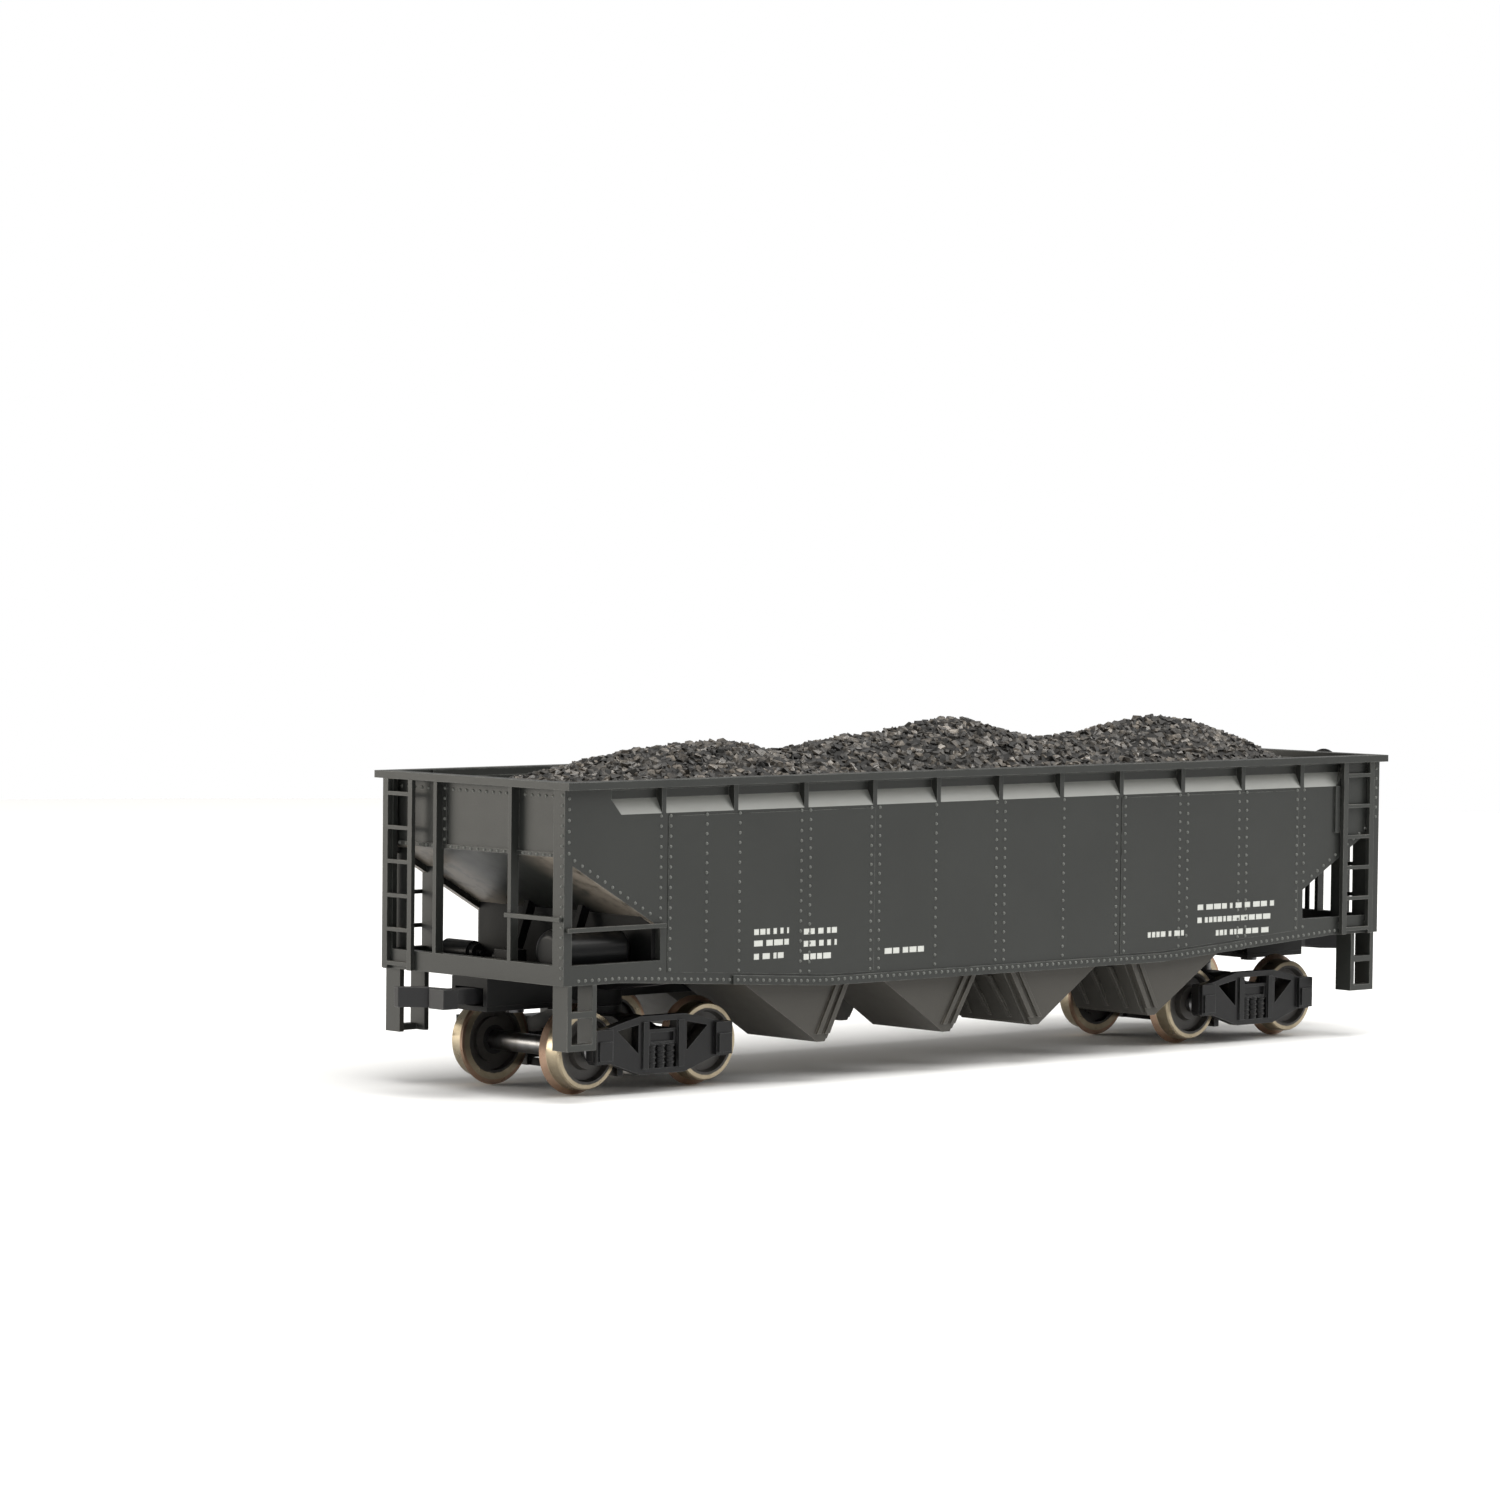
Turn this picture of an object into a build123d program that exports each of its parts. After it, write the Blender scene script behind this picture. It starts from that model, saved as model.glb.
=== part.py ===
"""Four-bay offset-side hopper car with a lift-out coal load, HO scale (1:87.1), in millimetres.

The car runs along X, its track gauge lies along Y, and Z is up. The origin is at the middle of
the car on the plane that the wheel flanges reach. End A is at -X, end B, with the hand brake, at
+X. The car looks the same when it is turned half a turn about Z, apart from its brake gear.
"""
from build123d import *
from math import atan2, cos, pi, sin, tan
import os

# ---------------------------------------------------------------- body
BODY_HALF_LENGTH = 73.0      # to the outer face of the corner and end posts
BODY_HALF_WIDTH = 17.0       # to the outer face of the side sheets
CHORD_TOP = 38.3             # top of the rim
CHORD_THICKNESS = 0.9
CHORD_OVERHANG_END = 0.4
CHORD_OVERHANG_SIDE = 1.2
CHORD_BAR = 2.0              # width of the rim's flat bar
SHEET = 0.9                  # wall of the side sheets and of the end panels
BEVEL_BOTTOM = 34.25         # where the side starts to lean in under the rim
BEVEL_TOP = 36.1
BEVEL_INSET = 1.0            # how far the upper side stands behind the lower side
BEVEL_HALF_LENGTH = BODY_HALF_LENGTH - 8.9   # at its lower edge
BEVEL_END_SLANT = 1.6
GUSSETS_INNER_PITCH = 11.1   # the two middle panels each way
GUSSETS_OUTER_PITCH = 11.7   # the three panels next to them
GUSSET_WIDTH = 0.7
SILL_BOTTOM_END = 14.2
SILL_BOTTOM_MIDDLE = 12.2
SILL_LEVEL_END = BODY_HALF_LENGTH - 9.0      # outside this the sill's lower edge is level
SILL_LEVEL_MIDDLE = 30.0     # inside this it is level again
SILL_TOP = 16.6
SILL_FLANGE_HALF_LENGTH = 46.0
SILL_FLANGE = 0.3
SILL_FLANGE_HEIGHT = 1.1
END_SILL = 1.2
FLOOR = 14.1                 # where the body rests on the chutes and on the underframe
PANEL_SETBACK = 1.2          # end panel behind the posts
PANEL_BOTTOM = 29.3
SLOPE_PLATE = 1.1
CUT_OUT_DROP = 0.85          # side sheet's edge below the slope plate
CUT_OUT_INNER = BODY_HALF_LENGTH - 15.3
CUT_OUT_OUTER = BODY_HALF_LENGTH - 1.3
END_POST = 0.6
END_POST_Y = 7.0
END_POST_FLANGE = 5.95       # inner edge of the thin flange beside each end post
FLANGE = 0.2
PANEL_LIP = 0.3
PANEL_LIP_HEIGHT = 0.5
CORNER_POST = 2.0            # width of each leg of the corner angles
ANGLE = 0.7
SIDE_LADDER_X = BODY_HALF_LENGTH - 5.0
WEB_PLACES = (SIDE_LADDER_X - 1.9, SIDE_LADDER_X + 2.5)   # deep plates behind the side ladders
WEB = 0.6
WEB_INNER_Y = 14.6
STRIP_INNER = SIDE_LADDER_X - 4.2            # raised strip beside the side ladders
STRIP_OUTER = SIDE_LADDER_X - 3.3
STRIP_BOTTOM = 28.0
STRIP = 0.3
RIDGE_ANGLE = 55.0
RIDGE_MARGIN = 0.9           # how far the ridge caps reach over the walls of the bays
HOOD_HEIGHT = 2.9
HOOD_MARGIN = 0.6
HOOD_TOP_HALF_WIDTH = 0.8

# ---------------------------------------------------------------- hopper bays
OUTLET_BOTTOM = 5.1
OUTLET_WIDTH = 1.3
CHUTE_INNER_Y = 3.0
CHUTE_WALL = 0.9
CHUTE_RIBS = ((0.0, 0.8), (1.5, 0.7))   # distance from the door's plane and width
CHUTE_RIB_FOOT = 1.0
RIB = 0.35
CHUTE_GAP = 0.05             # between a chute's ribs and the side sheet
CHUTE_OUTER_Y = BODY_HALF_WIDTH - SHEET - CHUTE_GAP - RIB
DOOR_THICKNESS = 0.5
DOOR_MARGIN = 0.4
DOOR_FOOT = 0.3
DOOR_HEAD = 2.0              # how far its upper edge is below the floor
DOOR_RIB = 0.6
# x of the long slope's head at floor height, of the outlet's middle, and of the head of the door's slope
INNER_BAY = (-22.22, -8.0, -1.85)
OUTER_OUTLET = -29.75
OUTER_DOOR_HEAD = -24.4
WHEEL_ROOM = 12.12           # keeps the outer bay's slope clear of the inner wheels

# ---------------------------------------------------------------- load and ballast
LOAD_HALF_LENGTH = 66.0
LOAD_GAP = 0.7               # between the load and the set-back upper side
LOAD_HALF_WIDTH = BODY_HALF_WIDTH - BEVEL_INSET - SHEET - LOAD_GAP
LOAD_BOTTOM = 33.4
LOAD_EDGE = 36.4
LEDGE_HEIGHT = 0.8
LEDGE_DEPTH = 1.2
# height of the crest along the middle of the load, from end A to end B
CREST = ((-66.0, 36.7), (-60.0, 37.9), (-53.0, 39.6), (-46.0, 40.9), (-39.6, 41.3), (-33.0, 41.6),
         (-29.4, 41.2), (-24.0, 40.0), (-19.0, 40.7), (-12.0, 41.7), (-5.0, 42.1), (0.5, 43.0),
         (6.0, 43.8), (9.5, 43.7), (15.0, 42.4), (20.6, 41.2), (25.5, 40.8), (32.0, 41.4),
         (38.0, 42.4), (44.0, 43.2), (48.0, 43.3), (54.0, 42.4), (59.5, 40.6), (66.0, 36.9))
# across the load: distance from its middle and share of the crest's height above the edge
FALL = ((10.0, 0.35), (5.0, 0.78), (0.0, 1.0), (-5.0, 0.78), (-10.0, 0.35))
BALLAST_HALF_LENGTH = 44.0
BALLAST_HALF_WIDTH = 14.0
BALLAST_THICKNESS = 2.0

# ---------------------------------------------------------------- underframe
CENTRE_SILL_HALF_WIDTH = 2.4
CENTRE_SILL_BOTTOM = 10.9
SHELF = 0.8                  # plate over each truck, level with the end sill's lower edge
BOLSTER_HALF_LENGTH = 2.0
BOLSTER_BOTTOM = 12.0
BOLSTER_END_DEPTH = 0.5
BEARING_TOP = 10.0           # where the truck bears on the underframe
BEARING_RADIUS = 3.4
BEARING_GAP = 0.05
DRAFT_BOX_OUTER = BODY_HALF_LENGTH + 0.2
DRAFT_BOX_INNER = DRAFT_BOX_OUTER - 11.2
DRAFT_BOX_HALF_WIDTH = 3.3
DRAFT_BOX_BOTTOM = 10.2
DRAFT_BOX_TOP = 13.7
DRAFT_BOX_WALL = 0.7
LID_THICKNESS = 0.6
LID_SCREW_RADIUS = 0.5
LID_SCREW_HEAD = 1.1
LID_SCREW_HEAD_HEIGHT = 0.6
LID_SCREW_SLOT = 0.15        # half its width
BRACE_Y = 5.0
BRACE = 0.8
BRACE_FOOT = 10.0 - BODY_HALF_LENGTH
BRACE_WIDTH = 1.2
BRACE_LEAN = 3.0
BULKHEAD_X = BODY_HALF_LENGTH - 14.7   # outer face of the wall across each end, under the slope
BULKHEAD = 0.8

# ---------------------------------------------------------------- trucks
TRUCK_CENTRE = BODY_HALF_LENGTH - 19.7
WHEELBASE = 19.3
TREAD_RADIUS = 4.81
FLANGE_DEPTH = 0.7
FLANGE_WIDTH = 0.8
WHEEL_WIDTH = 2.8
WHEEL_BACK = 7.2             # half the back-to-back distance
WHEEL_RIM = 1.0              # thickness of the tyre
WHEEL_DISH = 0.8             # how far the plate is sunk on each side
WHEEL_HUB = 1.0
TREAD_CONE = 0.06
AXLE_RADIUS = 1.2
AXLE_HALF_LENGTH = 12.2
AXLE_CONE = 1.5
AXLE_TIP = 0.15
BUSH_WALL = 0.6
BEARING_PLAY = 0.12          # end play of each axle point in its cone
FRAME_INNER_Y = 11.4
FRAME_OUTER_Y = 12.7
# right half of a side frame about the truck's centre, from the top chord round to the bottom one
FRAME_OUTLINE = ((0, 9.5), (3.6, 9.5), (6.0, 9.0), (8.4, 8.4), (11.15, 8.1), (11.15, 4.5),
                 (10.7, 4.0), (8.35, 4.0), (3.5, 2.4), (0, 2.4))
FRAME_OPENING = ((7.3, 7.9), (3.9, 8.5), (3.9, 5.0))
WINDOW_HALF_WIDTH = 2.3
WINDOW_BOTTOM = 3.1
WINDOW_TOP = 8.8
COLUMN_PLATE = (2.4, 3.3)    # raised plate on each column, its edges from the truck's centre
JOURNAL_OUTER_Y = 13.2
JOURNAL_HALF_WIDTH = 1.3
JOURNAL_BELOW = 1.3          # reach of the journal box below and above the axle
JOURNAL_ABOVE = 2.7
JOURNAL_LID = 0.25
FRAME_JOIN = 0.2             # how far the springs run into the frame and the bolster
JOURNAL_LID_HALF_WIDTH = 1.0
SPRING_RADIUS = 0.65
SPRING_PITCH = 1.5
BOLSTER_END_BOTTOM = 5.9
BOLSTER_END_TOP = 7.8
BOLSTER_LEVEL_Y = 6.0        # the bolster is level inside this and bends towards its ends
BOLSTER_BENT_Y = 9.0
BOLSTER_END_INSET = 0.15
BOLSTER_POCKET = 0.4
BRAKE_BEAM = 0.8
BRAKE_BEAM_Y = 8.9
BRAKE_BEAM_BOTTOM = 2.0
BRAKE_BEAM_TOP = 2.9
BRAKE_HANGER_Y = 5.0
BRAKE_SHOE_GAP = 0.64        # from the shoe to the tread
BRAKE_SHOE_X = WHEELBASE / 2 - TREAD_RADIUS - BRAKE_SHOE_GAP
BRAKE_SHOE_Y = 8.4
BRAKE_SHOE_TOP = 4.6
TRUCK_BOLSTER_BOTTOM = 6.4
TRUCK_BOLSTER_TOP = 8.9
SCREW_RADIUS = 1.2
SCREW_HEAD_RADIUS = 2.1
SCREW_HEAD_HEIGHT = 1.0
SCREW_CLEARANCE = 0.08
SCREW_TOP = 13.4

# ---------------------------------------------------------------- couplers
COUPLER_PIVOT = DRAFT_BOX_OUTER - 7.2
COUPLER_HEIGHT = 11.95       # middle of the shank
SHANK = 1.9
SHANK_HALF_WIDTH = 1.0
COUPLER_EYE_RADIUS = 2.1
PIVOT_RADIUS = 1.0
PIVOT_CLEARANCE = 0.08
COUPLER_GAP = 0.1
HEAD_EXTRA = 0.25            # how much the head stands over the shank, above and below
# head of end A's coupler from the shank round the horn and the hook, measured from the pivot
COUPLER_HEAD = ((10.5, 1.0), (12.2, 2.4), (14.2, 4.2), (15.4, 4.2), (15.4, 3.4), (13.4, 1.3),
                (12.7, 0.8), (13.6, -0.2), (13.6, -2.9), (11.3, -2.9), (10.5, -1.0))
COUPLER_NECK = 11.0
SPRING_THICKNESS = 0.25
SPRING_HALF_HEIGHT = 0.8

# ---------------------------------------------------------------- ladders, steps and rails
RUNG_PITCH = 4.15
LOWEST_RUNG = 14.9
RUNGS = 6
RUNG = 0.5
SIDE_STILE = 0.9
SIDE_LADDER_HALF_WIDTH = 3.1
END_STILE = 0.8
END_LADDER_Y = BODY_HALF_WIDTH - 3.6
END_LADDER_HALF_WIDTH = 2.7
LADDER_STAND_OFF = 0.2
LADDER_THICKNESS = 0.6
LADDER_FOOT = 0.8            # height of the lugs that hold a ladder off the side
STIRRUP_BOTTOM = 6.4
STIRRUP_STEP = 0.8
STIRRUP_LEG = 0.7
STIRRUP_LEG_DEPTH = 2.7
STIRRUP_STEP_DEPTH = 1.2
STIRRUP_X = BODY_HALF_LENGTH - 3.0
STIRRUP_HALF_WIDTH = 2.3
SIDE_RAIL_HEIGHT = 20.8
END_RAIL_HEIGHT = 22.1
HAND_RAIL = 0.55
RAIL_END = 0.3               # from the car's corner to the end of each rail
RAIL_OVERLAP = 0.5

# ---------------------------------------------------------------- brake gear
BRAKE_WHEEL_Y = -5.0
BRAKE_WHEEL_Z = 35.8
BRAKE_WHEEL_RADIUS = 2.8
BRAKE_WHEEL_X = BODY_HALF_LENGTH + 2.3
BRAKE_WHEEL_RIM = 0.28
BRAKE_SPOKES = 5
BRAKE_SPOKE = 0.4
BRAKE_HUB_RADIUS = 0.6
BRAKE_HUB = 0.8
HOUSING_LEFT = 0.9
HOUSING_RIGHT = 1.5
HOUSING_BELOW = 3.4
HOUSING_ABOVE = 1.2
HOUSING_GAP = 1.2            # from the housing's face to the middle of the hand wheel
BRAKE_SHAFT_RADIUS = 0.5
BRAKE_ROD_RADIUS = 0.35
PLATFORM_DROP = 1.2          # the step's under side below the end panel's lower edge
PLATFORM_DEPTH = 2.4
PLATFORM_WIDTH = 7.0
PLATFORM = 0.5
PLATFORM_WEB = 0.6
PLATFORM_WEB_HEIGHT = 1.8
RESERVOIR_X = (2.2 - BODY_HALF_LENGTH, 13.4 - BODY_HALF_LENGTH)
RESERVOIR_Y = -11.5
RESERVOIR_RADIUS = 2.75
RESERVOIR_ROUND = 1.1
CYLINDER_X = 6.4 - BODY_HALF_LENGTH
CYLINDER_Y = 7.0
CYLINDER_RADIUS = 1.4
CYLINDER_LENGTH = 5.0
CYLINDER_NECK = 0.8
CYLINDER_ROD = 1.4
CYLINDER_ROD_RADIUS = 0.3
VALVE_X = 5.2 - BODY_HALF_LENGTH
VALVE_Y = (-2.6, 0.2)
VALVE_HEIGHT = 2.4
VALVE_PORT = 1.3             # height and length of its round port


def block(x0, x1, y0, y1, z0, z1):
    """A box between two corners."""
    size = Box(abs(x1 - x0), abs(y1 - y0), abs(z1 - z0))
    return Pos((x0 + x1) / 2, (y0 + y1) / 2, (z0 + z1) / 2) * size


def along_y(points, y0, y1):
    """An outline of (x, z) points made solid from y0 to y1."""
    face = make_face(Plane.XZ.offset(-y1) * Polyline(*points, close=True))
    return extrude(face, y1 - y0, dir=(0, -1, 0))


def along_x(points, x0, x1):
    """An outline of (y, z) points made solid from x0 to x1."""
    face = make_face(Plane.YZ.offset(x0) * Polyline(*points, close=True))
    return extrude(face, x1 - x0, dir=(1, 0, 0))


def along_z(points, z0, z1):
    """An outline of (x, y) points made solid from z0 to z1."""
    face = make_face(Plane.XY.offset(z0) * Polyline(*points, close=True))
    return extrude(face, z1 - z0, dir=(0, 0, 1))


def rod_y(radius, x, z, y0, y1):
    return Pos(x, (y0 + y1) / 2, z) * Rot(90, 0, 0) * Cylinder(radius, y1 - y0)


def rod_x(radius, y, z, x0, x1):
    return Pos((x0 + x1) / 2, y, z) * Rot(0, 90, 0) * Cylinder(radius, x1 - x0)


def rod_z(radius, x, y, z0, z1):
    return Pos(x, y, (z0 + z1) / 2) * Cylinder(radius, z1 - z0)


def turned(shape):
    """The same piece at the other end of the car, half a turn about Z away."""
    return Rot(0, 0, 180) * shape


def other_side(shape):
    return mirror(shape, Plane.XZ)


def other_end(shape):
    return mirror(shape, Plane.YZ)


def joined(shapes):
    result = shapes[0]
    for shape in shapes[1:]:
        result = result + shape
    return result


SHEET_INNER = BODY_HALF_WIDTH - SHEET
CHORD_UNDER = CHORD_TOP - CHORD_THICKNESS
PANEL_FACE = BODY_HALF_LENGTH - PANEL_SETBACK
AXLE_HEIGHT = TREAD_RADIUS + FLANGE_DEPTH
OUTER_SLOPE_FOOT = WHEELBASE / 2 - TRUCK_CENTRE + 2 * AXLE_HEIGHT - WHEEL_ROOM
OUTER_BAY = (OUTER_SLOPE_FOOT, OUTER_OUTLET, OUTER_DOOR_HEAD)
INNER_SLOPE_FOOT = INNER_BAY[0]
INNER_DOOR_HEAD = INNER_BAY[2]
SHELF_TOP = SILL_BOTTOM_END + SHELF


def bay_corners(bay):
    """Outlet corners and the ends of its two slopes at floor height, as x values."""
    slope_head, middle, door_head = bay
    return slope_head, middle - OUTLET_WIDTH / 2, middle + OUTLET_WIDTH / 2, door_head


def bay_slopes(bay):
    """Rise over run of its long slope and of its door."""
    slope_head, low, high, door_head = bay_corners(bay)
    rise = FLOOR - OUTLET_BOTTOM
    return rise / (low - slope_head), rise / (door_head - high)


def slope_under(x):
    """Height of the under side of end A's slope plate."""
    run = OUTER_SLOPE_FOOT + PANEL_FACE
    return PANEL_BOTTOM - (x + PANEL_FACE) * (PANEL_BOTTOM - FLOOR) / run


# ================================================================ body shell
def sill_line(raise_by=0.0):
    """Lower edge of the side from end A to end B."""
    half = ((BODY_HALF_LENGTH, SILL_BOTTOM_END), (SILL_LEVEL_END, SILL_BOTTOM_END),
            (SILL_LEVEL_MIDDLE, SILL_BOTTOM_MIDDLE))
    left = [(-x, z + raise_by) for x, z in half]
    return left + [(x, z + raise_by) for x, z in reversed(half)]


def side_wall():
    """Near side: flat sheet below, leaning in and set back under the rim, open at its ends."""
    outline = sill_line() + [(BODY_HALF_LENGTH, CHORD_UNDER), (-BODY_HALF_LENGTH, CHORD_UNDER)]
    wall = along_y(outline, -BODY_HALF_WIDTH, -SHEET_INNER)
    back = BODY_HALF_WIDTH - BEVEL_INSET - SHEET
    wall += block(-PANEL_FACE, PANEL_FACE, -SHEET_INNER, -back, BEVEL_BOTTOM, CHORD_UNDER)
    top = BEVEL_HALF_LENGTH + BEVEL_END_SLANT
    recess_front = [(-BEVEL_HALF_LENGTH, BEVEL_BOTTOM), (BEVEL_HALF_LENGTH, BEVEL_BOTTOM),
                    (top, BEVEL_TOP), (top, CHORD_UNDER), (-top, CHORD_UNDER), (-top, BEVEL_TOP)]
    set_back = BODY_HALF_WIDTH - BEVEL_INSET
    recess_end = [(-BODY_HALF_WIDTH, BEVEL_BOTTOM), (-set_back, BEVEL_TOP), (-set_back, CHORD_UNDER),
                  (-BODY_HALF_WIDTH - 1, CHORD_UNDER), (-BODY_HALF_WIDTH - 1, BEVEL_BOTTOM)]
    recess = along_y(recess_front, -BODY_HALF_WIDTH - 1, -set_back)
    recess = recess & along_x(recess_end, -top, top)
    wall -= recess
    for x in gusset_places():
        fin = [(-BODY_HALF_WIDTH, BEVEL_BOTTOM), (-set_back, BEVEL_TOP), (-set_back, CHORD_UNDER),
               (-BODY_HALF_WIDTH, CHORD_UNDER)]
        wall += along_x(fin, x - GUSSET_WIDTH / 2, x + GUSSET_WIDTH / 2)
    cut = [(-CUT_OUT_OUTER, slope_under(-CUT_OUT_OUTER) - CUT_OUT_DROP), (-CUT_OUT_OUTER, SILL_TOP),
           (-CUT_OUT_INNER, SILL_TOP), (-CUT_OUT_INNER, slope_under(-CUT_OUT_INNER) - CUT_OUT_DROP)]
    opening = along_y(cut, -BODY_HALF_WIDTH - 1, -SHEET_INNER + 0.5)
    wall -= opening
    wall -= other_end(opening)
    low = [p for p in sill_line() if abs(p[0]) <= SILL_LEVEL_MIDDLE]
    drop = (SILL_BOTTOM_END - SILL_BOTTOM_MIDDLE) / (SILL_LEVEL_END - SILL_LEVEL_MIDDLE)
    end_z = SILL_BOTTOM_MIDDLE + drop * (SILL_FLANGE_HALF_LENGTH - SILL_LEVEL_MIDDLE)
    low = [(-SILL_FLANGE_HALF_LENGTH, end_z)] + low + [(SILL_FLANGE_HALF_LENGTH, end_z)]
    high = [(x, z + SILL_FLANGE_HEIGHT) for x, z in reversed(low)]
    wall += along_y(low + high, -BODY_HALF_WIDTH - SILL_FLANGE, -BODY_HALF_WIDTH)
    return wall


def gusset_places():
    inner = [GUSSETS_INNER_PITCH * i for i in range(3)]
    outer = [inner[-1] + GUSSETS_OUTER_PITCH * (i + 1) for i in range(3)]
    half = inner + outer
    return [-x for x in reversed(half[1:])] + half


def rim():
    long_half = BODY_HALF_LENGTH + CHORD_OVERHANG_END
    wide_half = BODY_HALF_WIDTH + CHORD_OVERHANG_SIDE
    outer = block(-long_half, long_half, -wide_half, wide_half, CHORD_UNDER, CHORD_TOP)
    return outer - block(-long_half + CHORD_BAR, long_half - CHORD_BAR, -wide_half + CHORD_BAR,
                         wide_half - CHORD_BAR, CHORD_UNDER - 1, CHORD_TOP + 1)


def end_frame():
    """End A: panel, slope plate, end sill, corner angles, end posts and the far ladder's plates."""
    face = -PANEL_FACE
    outer = -BODY_HALF_LENGTH
    inside = SHEET_INNER
    over = SLOPE_PLATE / cos(atan2(PANEL_BOTTOM - FLOOR, OUTER_SLOPE_FOOT + PANEL_FACE))
    pieces = [block(face, face + SHEET, -inside, inside, PANEL_BOTTOM, CHORD_UNDER)]
    slope = [(face, PANEL_BOTTOM), (OUTER_SLOPE_FOOT, FLOOR), (OUTER_SLOPE_FOOT + over, FLOOR),
             (face + SHEET, slope_under(face + SHEET) + over), (face, PANEL_BOTTOM + over)]
    pieces.append(along_y(slope, -inside, inside))
    pieces.append(block(outer, outer + END_SILL, -inside, inside, SILL_BOTTOM_END, SILL_TOP))
    lip = BODY_HALF_WIDTH - CORNER_POST
    pieces.append(block(face - PANEL_LIP, face, -lip, lip, PANEL_BOTTOM, PANEL_BOTTOM + PANEL_LIP_HEIGHT))
    for side in (-1, 1):
        y = side * END_POST_Y
        pieces.append(block(outer, face, y - END_POST / 2, y + END_POST / 2, SILL_TOP, CHORD_UNDER))
        pieces.append(block(face - FLANGE, face, side * END_POST_FLANGE, y, PANEL_BOTTOM, CHORD_UNDER))
        near = side * BODY_HALF_WIDTH
        pieces.append(block(outer, outer + ANGLE, near, near - side * CORNER_POST, SILL_BOTTOM_END,
                            CHORD_UNDER))
        pieces.append(block(outer, -CUT_OUT_OUTER, near, near - side * ANGLE, SILL_BOTTOM_END,
                            CHORD_UNDER))
    for place in WEB_PLACES:
        x0 = -place - WEB
        x1 = -place
        into = SLOPE_PLATE / 2
        web = [(x0, SHELF_TOP), (x1, SHELF_TOP), (x1, slope_under(x1) + into), (x0, slope_under(x0) + into)]
        pieces.append(along_y(web, WEB_INNER_Y, BODY_HALF_WIDTH))
    pieces.append(block(-STRIP_OUTER, -STRIP_INNER, inside, BODY_HALF_WIDTH + STRIP, STRIP_BOTTOM,
                        BEVEL_BOTTOM))
    return joined(pieces)


def ridges():
    """Caps over the walls between the bays and the hood over the centre sill."""
    pieces = []
    for low, high in ((OUTER_DOOR_HEAD, INNER_SLOPE_FOOT), (INNER_DOOR_HEAD, -INNER_DOOR_HEAD)):
        middle = (low + high) / 2
        peak = FLOOR + (high - low) / 2 * tan(RIDGE_ANGLE * pi / 180)
        foot = [(low - RIDGE_MARGIN, FLOOR), (high + RIDGE_MARGIN, FLOOR)]
        cap = along_y(foot + [(middle, peak)], -SHEET_INNER, SHEET_INNER)
        pieces += [cap, other_end(cap)] if middle < -1 else [cap]
    hood_foot = CHUTE_INNER_Y + HOOD_MARGIN
    hood = [(-hood_foot, FLOOR), (hood_foot, FLOOR), (HOOD_TOP_HALF_WIDTH, FLOOR + HOOD_HEIGHT),
            (-HOOD_TOP_HALF_WIDTH, FLOOR + HOOD_HEIGHT)]
    pieces.append(along_x(hood, OUTER_SLOPE_FOOT, -OUTER_SLOPE_FOOT))
    back = BODY_HALF_WIDTH - BEVEL_INSET - SHEET
    for side in (-1, 1):
        y0 = side * SHEET_INNER
        y1 = side * (back - LEDGE_DEPTH)
        ledge = [(y0, LOAD_BOTTOM), (y1, LOAD_BOTTOM), (y0, LOAD_BOTTOM - LEDGE_HEIGHT - 1)]
        pieces.append(along_x(ledge, -PANEL_FACE, PANEL_FACE))
    return joined(pieces)


def body_shell():
    near = side_wall()
    frame = end_frame()
    return joined([near, other_side(near), frame, turned(frame), rim(), ridges()])


# ================================================================ hopper bays
def bay_outline(bay):
    slope_top, low, high, door_top = bay_corners(bay)
    return [(slope_top, FLOOR), (low, OUTLET_BOTTOM), (high, OUTLET_BOTTOM), (door_top, FLOOR)]


def bay_inside(bay):
    """The room between the walls of a bay, down to where its two slopes meet."""
    slope_top, _, _, door_top = bay_corners(bay)
    slope, steep = bay_slopes(bay)
    left = slope_top + CHUTE_WALL / sin(atan2(slope, 1))
    right = door_top - CHUTE_WALL / sin(atan2(steep, 1))
    depth = (right - left) / (1 / slope + 1 / steep)
    return [(left, FLOOR), (left + depth / slope, FLOOR - depth), (right, FLOOR)]


def chute(bay):
    """Near half of one bay below the floor: a sloped hollow casting with two raised edge ribs."""
    body = along_y(bay_outline(bay), -CHUTE_OUTER_Y, -CHUTE_INNER_Y)
    body -= along_y(bay_inside(bay), -CHUTE_OUTER_Y + CHUTE_WALL, -CHUTE_INNER_Y - CHUTE_WALL)
    _, _, high, door_top = bay_corners(bay)
    foot_z = OUTLET_BOTTOM + CHUTE_RIB_FOOT
    foot_x = high + CHUTE_RIB_FOOT / bay_slopes(bay)[1]
    for start, width in CHUTE_RIBS:
        rib = [(foot_x - start - width, foot_z), (foot_x - start, foot_z), (door_top - start, FLOOR),
               (door_top - start - width, FLOOR)]
        body += along_y(rib, -CHUTE_OUTER_Y - RIB, -CHUTE_OUTER_Y)
    return body


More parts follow.
